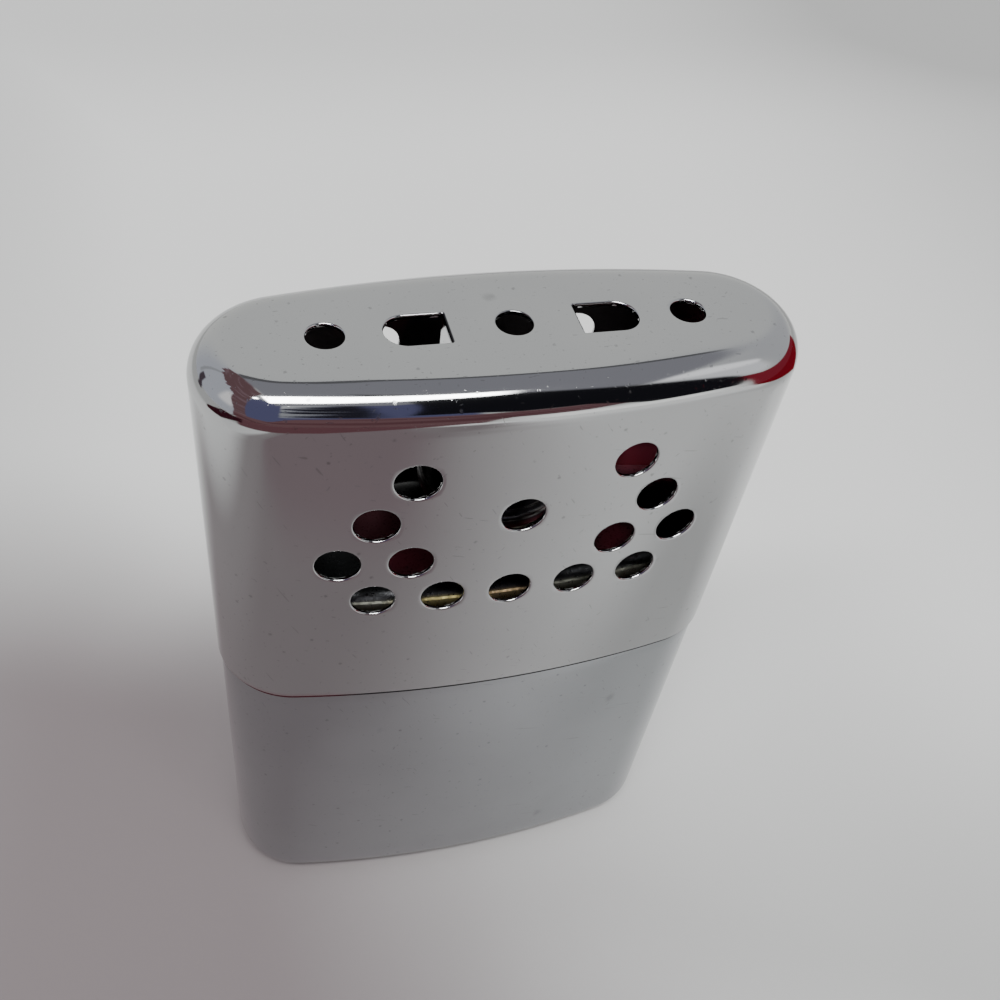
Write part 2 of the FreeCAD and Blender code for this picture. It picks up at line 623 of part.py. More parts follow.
nodes = [
    make_tank_body(),
    make_tank_deck(),
    make_filler_neck(),
    make_ring("neck_gasket", "Places.deck_level", "Sizes.gasket_thickness",
              "Places.gasket_radius", "Places.gasket_bore"),
    make_fuel_wadding(),
    make_disc("wick", "Sizes.wick_foot_level", "Places.wick_top - Sizes.wick_foot_level",
              "Places.wick_radius"),
    make_disc("neck_plug", "Places.plug_foot", "Sizes.plug_length", "Places.wick_radius"),
    make_gauze("wick_screen", "Places.screen_foot", "Places.screen_radius"),
    make_ring("wick_screen_ring", "Places.screen_ring_foot", "Sizes.screen_ring_height",
              "Places.screen_radius", "Places.screen_ring_bore"),
    make_burner_socket(),
    make_clamp_ring(),
    make_gauze("lower_gauze", "Places.lower_gauze_foot", "Places.lower_gauze_radius"),
    make_disc("catalyst_pad", "Places.catalyst_foot", "Sizes.catalyst_thickness", "Places.catalyst_radius"),
    make_gauze("upper_gauze", "Places.upper_gauze_foot", "Places.catalyst_radius"),
    make_burner_cage(),
    make_cover(),
]
doc.recompute()
check(nodes)
os.makedirs("parts", exist_ok=True)
for node in nodes:
    node.Shape.exportStep(f"parts/{node.Label}.step")
    print(node.Label, len(node.Shape.Solids), round(node.Shape.Volume, 2))
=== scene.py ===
"""Flat oval catalytic hand warmer in chrome plate, standing on a pale table."""

import math

import bmesh
import bpy
import numpy as np
from mathutils import Matrix, Vector, noise
from mathutils.geometry import delaunay_2d_cdt


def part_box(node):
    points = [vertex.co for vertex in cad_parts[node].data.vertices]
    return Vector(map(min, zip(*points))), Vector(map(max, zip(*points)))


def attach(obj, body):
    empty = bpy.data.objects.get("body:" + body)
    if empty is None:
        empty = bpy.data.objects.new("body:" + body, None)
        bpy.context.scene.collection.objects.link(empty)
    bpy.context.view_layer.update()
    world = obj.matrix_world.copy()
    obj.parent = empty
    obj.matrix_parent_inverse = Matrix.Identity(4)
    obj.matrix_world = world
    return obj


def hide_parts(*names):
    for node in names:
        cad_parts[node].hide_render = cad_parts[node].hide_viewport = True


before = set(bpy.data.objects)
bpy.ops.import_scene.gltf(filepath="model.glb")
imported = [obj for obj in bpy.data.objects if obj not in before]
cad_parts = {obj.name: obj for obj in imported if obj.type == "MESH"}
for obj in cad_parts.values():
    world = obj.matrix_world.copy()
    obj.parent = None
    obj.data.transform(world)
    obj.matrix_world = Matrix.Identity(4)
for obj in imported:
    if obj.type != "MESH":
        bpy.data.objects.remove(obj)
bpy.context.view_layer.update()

bl_info = {
    "name": "Catalytic hand warmer",
    "version": (1, 0, 0),
    "blender": (4, 5, 0),
    "location": "3D View > Sidebar > Hand warmer",
    "description": "Builds the warmer's pressed shells, its burner and the table it stands on",
    "category": "Object",
}

COVER_LOW, COVER_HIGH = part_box("cover")
TANK_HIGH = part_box("tank_body")[1]
DECK_LOW, DECK_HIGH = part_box("tank_deck")
WELD = 2e-6  # points nearer than this are one point
TURN = 2 * math.pi
DEGREES = 180 / math.pi
FINISH = "finish_"  # the solids' own materials go by the bare names
METAL = {"Metallic": 1.0}


def length(name, description, default):
    return bpy.props.FloatProperty(name=name, description=description, default=default, min=0.0,
                                   precision=5, unit="LENGTH", subtype="DISTANCE")


def colour(name, description, default):
    return bpy.props.FloatVectorProperty(name=name, description=description, default=default,
                                         size=3, min=0.0, max=1.0, subtype="COLOR")


def share(name, description, default):
    return bpy.props.FloatProperty(name=name, description=description, default=default,
                                   min=0.0, max=1.0, subtype="FACTOR")


def rotation(name, description, default):
    return bpy.props.FloatProperty(name=name, description=description, default=default,
                                   subtype="ANGLE", unit="ROTATION")


class WarmerShells(bpy.types.PropertyGroup):
    """Sizes of the pressed shells."""

    width: length("Width", "Cover, across its rounded ends", COVER_HIGH.x - COVER_LOW.x)
    depth: length("Depth", "Cover, front to back at its middle", COVER_HIGH.y - COVER_LOW.y)
    height: length("Height", "Table to the cover's top", COVER_HIGH.z)
    end_radius: length("End radius", "Plan radius of the rounded ends", 0.0101)
    sheet: length("Sheet", "Thickness of the pressed sheet", 0.0005)
    cover_edge: length("Cover edge", "Table to the cover's open edge", COVER_LOW.z)
    cover_radius: length("Cover radius", "Outside radius round the cover's top", 0.0044)
    tank_step: length("Tank step", "Tank's side inside the cover's side", 0.00035)
    tank_rim: length("Tank rim", "Table to the rim of the lower shell", TANK_HIGH.z)
    tank_radius: length("Tank radius", "Outside radius round the tank's bottom", 0.004)
    deck_step: length("Deck step", "Upper shell's side inside the cover's side", 0.0009)
    deck_foot: length("Deck foot", "Table to the upper shell's lower edge", DECK_LOW.z)
    deck_level: length("Deck level", "Table to the tank's deck", DECK_HIGH.z)
    shoulder: length("Shoulder", "Outside radius round the deck", 0.0035)
    lip: length("Lip", "Rounding of the cover's open edge", 0.00018)


class WarmerVents(bpy.types.PropertyGroup):
    """Sizes of the vents and slots in the cover."""

    radius: length("Vent radius", "Vents in both broad faces", 0.00248)
    column: length("Column pitch", "Sideways step of the vent grid", 0.004)
    row: length("Row pitch", "Height step of the vent grid", 0.0063)
    first_row: length("First row", "Table to the highest row of vents", 0.0884)
    top_radius: length("Top vent radius", "Vents in the cover's top", 0.00198)
    top_offset: length("Top vent offset", "Middle to an outer top vent", 0.0198)
    slot_flat: length("Slot flat", "Middle to the flat end of a slot", 0.0072)
    slot_round: length("Slot round", "Middle to the centre of a slot's round end", 0.0115)
    slot_radius: length("Slot radius", "Half width of a slot", 0.0024)
    rim: length("Rim rounding", "Rounding of the punched rims", 0.00020)
    bend: length("Tab bend", "Outer rounding where a tab bends down", 0.0004)


class WarmerFillings(bpy.types.PropertyGroup):
    """Wires and fibres of the burner, the neck and the wick."""

    pitch: length("Gauze pitch", "Spacing of the gauze's wires", 0.00056)
    wire: length("Gauze wire", "Radius of the gauze's wires", 0.00007)
    fibre: length("Fibre", "Radius of a drawn fibre", 0.00003)
    curl: length("Curl", "Radius that the fibres curl to", 0.0011)
    lumps: length("Lumps", "Unevenness of the packed wool", 0.00025)
    strand: length("Strand", "Radius of a strand of the wick", 0.00098)
    twist: rotation("Twist", "Turn of the wick from end to end", 4.2)


class WarmerFinish(bpy.types.PropertyGroup):
    """Colours and wear of the metal."""

    chrome: colour("Chrome", "Chrome plate", (0.50, 0.505, 0.507))
    tank: colour("Tank chrome", "Duller chrome of the tank", (0.44, 0.455, 0.468))
    inside: colour("Inside", "Unpolished inside of the cover", (0.045, 0.040, 0.042))
    deck: colour("Deck", "Tinted brass of the tank's deck", (0.13, 0.115, 0.085))
    nickel: colour("Nickel", "Nickel of the burner before the heat tints it", (0.42, 0.40, 0.36))
    # colour of the painted red light and red reflections on the plate's lip and seam, inside the
    # cover, on the deck and on the burner's rim
    wine: colour("Wine", "Wine-red stain left by heat", (0.33, 0.055, 0.088))
    haze: share("Haze", "Dullness of the handled plate", 0.055)
    wear: share("Wear", "Strength of specks and scratches", 0.6)


class WarmerStage(bpy.types.PropertyGroup):
    """Table, light and camera."""

    table: colour("Table", "Pale table top", (0.80, 0.81, 0.79))
    shade: colour("Shade", "Table top on its shaded side", (0.203, 0.180, 0.182))
    light: bpy.props.FloatProperty(name="Light", description="Strength of the soft surround",
                                   default=1.0, min=0.0)
    lens: bpy.props.FloatProperty(name="Lens", description="Focal length of the camera",
                                  default=39.107, min=1.0, unit="CAMERA")
    place: bpy.props.FloatVectorProperty(name="Camera place", description="Where the camera stands",
                                         default=(-0.032901, -0.085903, 0.167819), size=3,
                                         precision=5, subtype="TRANSLATION", unit="LENGTH")
    yaw: rotation("Yaw", "Camera's heading from +Y towards +X", 0.3833)
    pitch: rotation("Pitch", "How far the camera looks down", 0.8042)
    roll: rotation("Roll", "Turn of the camera about its own axis", 0.1698)


VENT_ROWS = ((-3, 3), (-4, 0, 4), (-5, -3, 3, 5), (-4, -2, 0, 2, 4))
CELL_STEPS = 6  # mesh columns in one column pitch
ROW_STEPS = 10  # mesh rows in one row pitch
TOP_CELL_STEPS = 12  # mesh steps along each side of a top vent's cell
TOP_CELL = 0.006  # side of that square cell
FLAT_START = 0.0004  # a flat face starts this far inside the rounding at its edge
WICK_END = 0.0004  # the wick's strands end this far inside its space
SIDE_END = 0.02503  # where the plan's side arc meets its round end, from the middle
END_STEPS = np.linspace(-1, 1, 47)[1:-1]  # columns of a round end, from one side to the other


def worked_out(operation, turned=False):
    """Method that works out a math operation between a socket and another value."""
    def method(self, other):
        values = (other, self) if turned else (self, other)
        return self.nodes.add("ShaderNodeMath", {"operation": operation}, values)
    return method


class Socket:
    """An output socket that can be added to, multiplied and passed on like a number."""

    def __init__(self, nodes, output):
        self.nodes = nodes
        self.output = output

    __add__, __radd__ = worked_out("ADD"), worked_out("ADD", turned=True)
    __sub__, __rsub__ = worked_out("SUBTRACT"), worked_out("SUBTRACT", turned=True)
    __mul__, __truediv__ = worked_out("MULTIPLY"), worked_out("DIVIDE")
    __pow__ = worked_out("POWER")
    __gt__, __lt__ = worked_out("GREATER_THAN"), worked_out("LESS_THAN")
    least, most = worked_out("MINIMUM"), worked_out("MAXIMUM")

    def __neg__(self):
        return self * -1.0

    def math(self, operation, *others):
        return self.nodes.add("ShaderNodeMath", {"operation": operation}, (self, *others))

    def between(self, low, high):
        return self.most(low).least(high)

    def ramp(self, low, high, to_low=0.0, to_high=1.0):
        """Smooth step of the value between two limits."""
        return self.nodes.add("ShaderNodeMapRange", {"interpolation_type": "SMOOTHSTEP"},
                              (self, low, high, to_low, to_high))

    def window(self, low, high, soft):
        """1 between two limits and 0 outside them, with soft edges."""
        return self.ramp(low - soft, low + soft) * self.ramp(high + soft, high - soft)

    def noise(self, scale, detail=2.0, roughness=0.5):
        return self.nodes.add("ShaderNodeTexNoise", None, {"Vector": self, "Scale": scale,
                                                          "Detail": detail, "Roughness": roughness})

    def scaled(self, x, y, z):
        return self.nodes.add("ShaderNodeVectorMath", {"operation": "MULTIPLY"}, (self, (x, y, z)))

    def named(self, name):
        """Another output of the same node."""
        return Socket(self.nodes, self.output.node.outputs[name])

    def parts(self):
        split = self.nodes.add("ShaderNodeSeparateXYZ", None, (self,))
        return split, split.named("Y"), split.named("Z")


class Nodes:
    """Adds nodes to one tree."""

    def __init__(self, tree):
        self.tree = tree

    def add(self, kind, settings=None, values=(), output=0):
        """One node: its settings, then the values or links of its inputs, by place or by name."""
        node = self.tree.nodes.new(kind)
        for name, setting in (settings or {}).items():
            if name == "stops":
                self._stops(node.color_ramp, setting)
            else:
                setattr(node, name, setting)
        pairs = values.items() if isinstance(values, dict) else enumerate(values)
        for key, value in pairs:
            for item in value if isinstance(value, list) else (value,):
                if isinstance(item, Socket):
                    self.tree.links.new(item.output, node.inputs[key])
                elif item is not None:
                    node.inputs[key].default_value = item
        return Socket(self, node.outputs[output]) if node.outputs else node

    @staticmethod
    def _stops(ramp, stops):
        while len(ramp.elements) > 1:
            ramp.elements.remove(ramp.elements[-1])
        for index, (place, tone) in enumerate(stops):
            element = ramp.elements[0] if index == 0 else ramp.elements.new(place)
            element.position = place
            element.color = (*tone, 1.0)

    def vector(self, x, y, z):
        return self.add("ShaderNodeCombineXYZ", None, (x, y, z))

    def turn_of(self, x, y):
        """Heading of a direction in degrees, from +Y towards +X, 0 to 360."""
        turn = x.math("ARCTAN2", y) * DEGREES
        return turn + (turn < 0.0) * 360.0

    def mix(self, factor, first, second):
        """Colour between two colours, each a socket or red, green and blue."""
        first, second = (tone if isinstance(tone, Socket) else (*tone, 1.0)
                         for tone in (first, second))
        return self.add("ShaderNodeMix", {"data_type": "RGBA"},
                        {0: factor, 6: first, 7: second}, output=2)

    def over(self, base, *layers):
        """Colour with layers laid over it in turn, each of them a mask and a colour."""
        for mask, tone in layers:
            base = self.mix(mask, base, tone)
        return base


def lit(tone, strength):
    """Colour at another strength."""
    return tuple(part * strength for part in tone)


# --- finishes

def made_material(name, paint, *values):
    """Material by its name, made once.

    Its patterns read the place on the piece in the piece's own coordinates.
    """
    made = bpy.data.materials.get(FINISH + name)
    if not made:
        made = bpy.data.materials.new(FINISH + name)
        made.use_nodes = True
        made.node_tree.nodes.clear()
        nodes = Nodes(made.node_tree)
        paint(nodes, nodes.add("ShaderNodeTexCoord").named("Object"), *values)
    return made


def surface(nodes, base, rough, relief, strength, distance, settings):
    """Shader with its colour, roughness and relief, joined to the material's output."""
    bump = nodes.add("ShaderNodeBump", None,
                     {"Strength": strength, "Distance": distance, "Height": relief})
    shader = nodes.add("ShaderNodeBsdfPrincipled", None,
                       {"Base Color": base, "Roughness": rough, "Normal": bump, **settings})
    nodes.add("ShaderNodeOutputMaterial", None, {"Surface": shader})


def scratches(place, ways, scale, thin):
    """Thin straight marks: noise drawn out a few ways, each a turn and a tilt."""
    marks = None
    for turn, tilt in ways:
        turned = place.nodes.add("ShaderNodeMapping", None,
                                 {"Vector": place, "Rotation": (tilt, turn, 0.3 * turn)})
        line = turned.scaled(1.0, 1.0, 0.035).noise(scale, 1.0).ramp(thin, thin + 0.02)
        marks = line if marks is None else marks.most(line)
    return marks


def spots(place, scale, small, large, part):
    """Marks with soft ragged edges in a part of the cells, sized in parts of their spacing."""
    cells = place.nodes.add("ShaderNodeTexVoronoi", None, {"Vector": place, "Scale": scale})
    pick = cells.named("Color").parts()[0]
    ragged = place.noise(scale * 7.0, 2.0) - 0.5
    return (cells + ragged * large).ramp(large, small) * pick.ramp(1.0 - part, 1.02 - part)


def chrome_plate(nodes, place, tone, haze, wear, tint, seam, wine):
    """Chrome plate: mirror under a light haze, with specks, smudges and hair scratches.

    seam gives the two levels between which the joint of the shells is painted dark as shade, tinted
    wine-red where a red reflection is painted.
    """
    x, y, z = place.parts()
    cloud, fine = place.noise(60.0, 3.0), place.noise(1700.0, 3.0, 0.6)
    specks = spots(place, 620.0, 0.06, 0.19, 0.21)
    smudges = spots(place.scaled(1.0, 1.0, 0.7), 150.0, 0.02, 0.16, 0.34)
    hairs = scratches(place, ((0.5, 0.2), (-0.7, 0.4), (1.3, -0.3)), 2800.0, 0.75)
    dust = spots(place, 1250.0, 0.05, 0.21, 0.24) * cloud.ramp(0.40, 0.60)
    marks = specks.most(dust * 0.8).most(smudges * 0.85).most(hairs * 0.7) * wear
    # painted red reflection: a span on the front left where the lip and the seam take a wine-red
    # tint
    red_reflection_span = x.window(-0.0315, -0.019, 0.003) * (y < 0.0)
    lip_red_reflection = z.window(0.05, 0.0509, 0.0005) * red_reflection_span
    # painted shade: a dark band at the joint of the shells, under the cover's lip
    seam_shade = z.window(*seam, 0.00004)
    # painted dark reflection in the bend where the tabs bend down
    bend_dark_reflection = ((x.math("ABSOLUTE") < 0.0074) * (y.math("ABSOLUTE") < 0.00262)
              * z.ramp(0.09899, 0.09892) * z.ramp(0.09820, 0.09850))
    base = nodes.over(
        tone, (cloud.ramp(0.35, 0.7), tint), (marks * 0.75, lit(tone, 0.35)),
        (lip_red_reflection * 0.35, lit(wine, 1.4)),
        (seam_shade, nodes.mix(red_reflection_span * 0.8, (0.022, 0.022, 0.024), lit(wine, 0.45))),
        (bend_dark_reflection, (0.018, 0.018, 0.020)))
    rough = haze + (cloud - 0.5) * 0.04 + marks * 0.25 + (fine - 0.5) * 0.02 + seam_shade * 0.4
    surface(nodes, base, rough.between(0.03, 0.6), cloud * 2.0 + fine * 0.06 - marks * 0.5,
            0.12, 0.00008, METAL)


def sooted_inside(nodes, place, tone, wine):
    """Dull inside of the cover, sooted, with painted red light: a wine-red patch in its right rear
    bend and faint wine-red patches elsewhere.
    """
    x, y, z = place.parts()
    grain = place.noise(2200.0, 2.0)
    # painted red light on the inner wall, in the right rear bend and in faint patches
    red_light_bloom = (x.window(0.0215, 0.0285, 0.002) * z.window(0.0615, 0.0700, 0.002)
             * y.ramp(0.004, 0.007)).most(place.noise(90.0, 3.0).ramp(0.50, 0.66) * 0.2)
    base = nodes.mix(red_light_bloom, tone, nodes.mix(0.15, lit(wine, 2.1), lit(tone, 2.0)))
    surface(nodes, base, 0.33 + grain * 0.12, grain, 0.3, 0.00004,
            {"Metallic": 1.0 - red_light_bloom * 0.9, "Specular IOR Level": 0.2})


def drawn_brass(nodes, place, tone, wine):
    """Drawn brass: painted dark on top as shade, with upright draw lines and a painted highlight
    round its shoulder.
    """
    x, y, z = place.parts()
    streak = nodes.vector(x, y, z * 0.05).noise(2600.0, 2.0)
    beads = nodes.vector(x, y, z * 0.3).noise(1900.0, 1.0)
    ragged = (place.noise(380.0, 3.0, 0.6) - 0.5) * 0.0045
    # along x: where the painted highlight is golden and the brass yellower, left of the middle, a
    # warmer patch in it, and a greyer, stronger painted glow to the right
    gold, warm = x.window(-0.0125, 0.0035, 0.0025), x.window(-0.0035, 0.0045, 0.0015)
    right = x.ramp(0.0045, 0.0085)
    # painted red reflections in patches on the flat top, which is painted dark as shade, a painted
    # red glow on the right rear corner, and soot over its corners
    flat = z.ramp(0.06690, 0.06725) * z.ramp(0.0680, 0.0676)
    patch_tint = (((x + y * 0.35 + ragged).window(-0.0158, -0.0074, 0.0014)
              + (x + ragged).window(0.0128, 0.0182, 0.0018)).least(1.0)
             * (y + ragged * 1.5).window(-0.0068, 0.0070, 0.0016)
             * (place.noise(70.0, 2.0) + ragged * 30.0).ramp(0.2, 0.5))
    # painted red glow on the shoulder's right rear corner
    corner = ((x + ragged).window(0.0205, 0.0290, 0.0020) * (y + ragged).ramp(0.003, 0.006)
              * z.window(0.0640, 0.0680, 0.0004))
    soot = ((x + ragged * 0.5).window(-0.0115, -0.0030, 0.0015) * y.ramp(0.003, 0.005)
            * z.ramp(0.0664, 0.0668))
    # painted highlight round the front of the shoulder, drawn as a beaded line, and a painted glow
    # under it
    front = y.ramp(0.0, -0.002)
    shoulder_highlight = (z.window(0.06641, 0.06662, 0.00006) * front
           * (0.6 + beads.ramp(0.40, 0.60) * 0.4) * (0.75 + gold * 0.25))
    glow = z.window(0.06600, 0.06662, 0.00030) * front * (0.15 + gold * 0.2 + right * 0.35)
    highlight_tone = nodes.over((0.47, 0.48, 0.39), (gold, (1.0, 0.86, 0.36)),
                      (warm * 0.6, (0.80, 0.50, 0.34)))
    base = nodes.over(
        tone, (streak.ramp(0.35, 0.7, 0.0, 0.6), lit(tone, 0.4)),
        # brass yellower where the painted highlight is golden; painted shade darkens the deck's top
        (gold * 0.5, (0.16, 0.115, 0.05)), (z.ramp(0.0662, 0.0668), (0.03, 0.03, 0.032)),
        (flat, nodes.mix(patch_tint * flat, (0.024, 0.025, 0.026), lit(wine, 0.30))),
        (shoulder_highlight.most(glow), highlight_tone), (corner, nodes.mix(0.15, lit(wine, 1.7), (0.6, 0.6, 0.7))),
        (soot, (0.004, 0.004, 0.004)))
    surface(nodes, base, 0.22 + streak * 0.14 + shoulder_highlight * 0.2, streak + beads * shoulder_highlight, 0.4, 0.00004,
            {"Metallic": 1.0 - (patch_tint * flat).most(corner) * 0.7, "Specular IOR Level": 0.15})


def hot_nickel(nodes, place, tone, wine):
    """Burner's nickel: clean at the fingers, straw, wine and slate where it runs hot, with a
    painted highlight on its top rim and a painted red reflection under it.
    """
    x, _, z = place.parts()
    cloud, fine = place.noise(260.0, 3.0), place.noise(3200.0, 2.0)
    heat = (z + (cloud - 0.5) * 0.005).ramp(0.0725, 0.0815)
    stops = ((0.0, tone), (0.30, (0.36, 0.27, 0.15)), (0.50, (0.16, 0.045, 0.06)),
             (0.70, (0.045, 0.045, 0.060)), (1.0, (0.10, 0.10, 0.115)))
    tint = nodes.add("ShaderNodeValToRGB", {"stops": stops}, (heat,))
    # painted highlight: a pale band along the burner's top rim
    rim = z.window(0.07768, 0.07850, 0.00012)
    soot, black = cloud.ramp(0.45, 0.75) * heat * (1.0 - rim), (0.02, 0.018, 0.018)
    # painted red reflection in the wine-red band just under the rim
    base = nodes.over(tint, (soot, black), (z.window(0.0753, 0.0774, 0.0006), lit(wine, 0.5)),
                      (rim, (0.50, 0.48, 0.47)), (x.ramp(-0.0035, -0.006, 0.0, 0.85), black))
    surface(nodes, base, 0.22 + fine * 0.16 + soot * 0.3, fine + cloud, 0.25, 0.00004, METAL)


def steel_wire(nodes, place, tone, hot):
    """Drawn steel wire, tinted by heat in patches."""
    fine = place.noise(5200.0, 2.0)
    base = nodes.mix(place.noise(330.0, 3.0).ramp(0.4, 0.65), tone, hot)
    surface(nodes, base, 0.25 + fine * 0.25, fine, 0.3, 0.00002, METAL)


def packed_fibre(nodes, place, tone, patch_tint, scale):
    """Packed fibre: pale and matt, stained in patches, with a nap of its own."""
    nap = place.noise(scale * 4.0, 3.0, 0.6)
    fluff = place.scaled(1.0, 1.0, 0.25).noise(scale, 2.0)
    base = nodes.over(tone, (place.noise(scale * 0.2, 3.0).ramp(0.38, 0.66), patch_tint),
                      (nap.ramp(0.5, 0.3, 0.0, 0.5), lit(patch_tint, 0.5)))
    surface(nodes, base, 0.75 + nap * 0.2, nap + fluff, 0.6, 0.00010,
            {"Specular IOR Level": 0.25, "Sheen Weight": 0.2})


def table_cover(nodes, place, table, shade):
    """Pale table cover with a faint nap, in shade towards its near left corner.

    Painted reflections of low tinted cards standing out of view lie on it; only glossy rays see
    them, so only polished metal shows them.
    """
    x, y, _ = place.parts()
    far, nap = place.noise(9.0, 2.0), place.noise(420.0, 3.0)
    drift = (far - 0.5) * 0.03
    away = (x * x + y * y) ** 0.5
    shown = nodes.add("ShaderNodeLightPath").named("Is Glossy Ray")

    def seen_from(side_x, side_y, height=0.095):
        """Heading and angle below the horizon of the table from a spot on the warmer."""
        east, north = x - side_x, y - side_y
        reach = (east * east + north * north) ** 0.5
        fall = nodes.add("ShaderNodeMath", {"operation": "ARCTAN2"}, (height, reach))
        return nodes.turn_of(east, north), fall * DEGREES

    # light falls off outwards, and the warmer dims the cloth at its foot
    outward = (y.ramp(0.20, 0.30, 0.0, 0.2).most(x.ramp(-0.035, -0.08, 0.0, 0.17))
               + x.ramp(-0.22, -0.36, 0.0, 0.3)
               + x.ramp(0.10, 0.30, 0.0, 0.35) * y.ramp(-0.5, -0.2))
    foot = ((y + (x - 0.02).most(0.0) * 0.55).ramp(-0.044, -0.019) * x.ramp(-0.03, 0.0)
            * x.ramp(0.13, 0.07) * y.ramp(0.05, 0.03))
    near = (y + drift).ramp(0.020, -0.050, 0.0, 0.22) * away.ramp(0.7, 0.3)
    lost = 0.05 + outward.most(near) + foot * (0.13 + shown * 0.13)
    lean = x - y * 0.15
    shaded = ((x + y * 0.25 + drift).ramp(0.055, -0.040)
              * (y + x * 0.4 + drift).ramp(0.070, 0.005)
              * (lean.ramp(-0.132, -0.100, 0.0, 0.89) + lean.ramp(-0.100, -0.062, 0.0, 0.11))
              * away.ramp(1.2, 0.6))
    deeper = y.ramp(-0.065, -0.095) * x.ramp(0.02, -0.01) * x.ramp(-0.095, -0.085)
    # painted reflections of low cards, seen only by glossy rays: brown in front, red on the right,
    # maroon and grey on the left
    turn, fall = seen_from(0.0, -0.010)
    brown = (turn.window(166.0, 244.0, 3.0)
             * (fall - (turn - 168.0).between(0.0, 24.0) * 0.75).ramp(1.0, -1.0))
    turn, fall = seen_from(0.031, -0.003)
    red = turn.window(66.0, 135.5, 1.5) * (fall + (turn - 135.0) * 0.38).ramp(5.0, 3.5)
    turn, fall = seen_from(-0.029, -0.006)
    maroon = (turn.window(236.0, 281.0, 1.5)
              * (fall - (turn - 257.0).most(0.0) * 0.62).ramp(2.5, 4.5)
              * (fall - (turn - 240.0).between(0.0, 22.0) * 0.5).ramp(12.5, 11.0))
    grey = turn.window(291.5, 299.5, 1.5) * fall.ramp(7.5, 5.0)
    base = nodes.over(
        table, ((lost * 2.0).least(1.0), lit(table, 0.5)),
        (shaded, nodes.mix(shown * deeper, shade, (0.184, 0.147, 0.154))),
        (brown * shown, (0.120, 0.055, 0.062)), (red * shown, (0.17, 0.006, 0.012)),
        (maroon * shown, (0.035, 0.008, 0.013)), (grey * shown, (0.060, 0.048, 0.056)))
    surface(nodes, base, 0.6, nap + far * 4.0, 0.12, 0.0004, {"Specular IOR Level": 0.0})


def finish(name):
    """One of the warmer's materials."""
    given = bpy.context.scene.warmer_finish
    chrome, tank, wine = given.chrome, given.tank, given.wine
    recipes = {
        "cover_chrome": (chrome_plate, chrome, given.haze, given.wear, lit(chrome, 0.97),
                         (0.0500, 0.05070), wine),
        "tank_chrome": (chrome_plate, tank, given.haze + 0.03, given.wear, lit(tank, 0.94),
                        (0.04986, 0.0510), wine),
        "cover_inside": (sooted_inside, given.inside, wine),
        "deck_metal": (drawn_brass, given.deck, wine),
        "burner_nickel": (hot_nickel, given.nickel, wine),
        "spring_wire": (steel_wire, (0.30, 0.29, 0.28), (0.14, 0.11, 0.10)),
        "gauze_wire": (steel_wire, (0.34, 0.32, 0.29), (0.15, 0.12, 0.13)),
        "catalyst_wool": (packed_fibre, (0.30, 0.295, 0.285), (0.13, 0.125, 0.12), 900.0),
        "glass_wool": (packed_fibre, (0.78, 0.79, 0.76), (0.52, 0.50, 0.42), 900.0),
        "wick_cotton": (packed_fibre, (0.72, 0.66, 0.54), (0.52, 0.44, 0.30), 700.0),
        "cotton_wadding": (packed_fibre, (0.80, 0.78, 0.72), (0.66, 0.60, 0.48), 300.0),
        "fibre_washer": (packed_fibre, (0.16, 0.055, 0.045), (0.07, 0.03, 0.03), 500.0),
    }
    return made_material(name, *recipes[name])


# --- pressed shells

class Oval:
    """Four-centre oval plan: two long side arcs and two round ends, as mesh columns."""

    def __init__(self, shells, side_places, end_turns):
        half, end_radius = shells.depth / 2, shells.end_radius
        end_centre, narrow = shells.width / 2 - end_radius, half - end_radius
        self.side_centre = (end_centre ** 2 - narrow ** 2) / (2 * narrow)
        self.side_radius = self.side_centre + half
        half_turn = math.asin(end_centre / (self.side_radius - end_radius))
        tangent = self.side_radius * math.sin(half_turn)
        side = np.arcsin(np.array([-tangent, *side_places, tangent]) / self.side_radius)
        end = (math.pi / 2 - half_turn) * np.array(end_turns)
        runs = (((0.0, self.side_centre), side - math.pi / 2, self.side_radius),
                ((end_centre, 0.0), end, end_radius))
        centres, normals, radii = [], [], []
        for turn in (0.0, math.pi):
            spin = np.array([[math.cos(turn), math.sin(turn)], [-math.sin(turn), math.cos(turn)]])
            for centre, angles, radius in runs:
                normals.append(directions(angles) @ spin)
                centres.append(np.tile(np.array(centre) @ spin, (len(angles), 1)))
                radii.append(np.full(len(angles), radius))
        self.centres = np.vstack(centres)
        self.normals = np.vstack(normals)
        self.radii = np.concatenate(radii)[:, None]
        self.columns = len(self.radii)

    def ring(self, inset, level):
        """Points of the plan drawn in by an inset, at a level. Inset may differ by column."""
        plan = self.centres + self.normals * (self.radii - np.reshape(inset, (-1, 1)))
        return np.c_[plan, np.full(self.columns, level)]

    def rings(self, path):
        """One ring for each (inset, level) pair of a section's path."""
        return [self.ring(*place) for place in path]


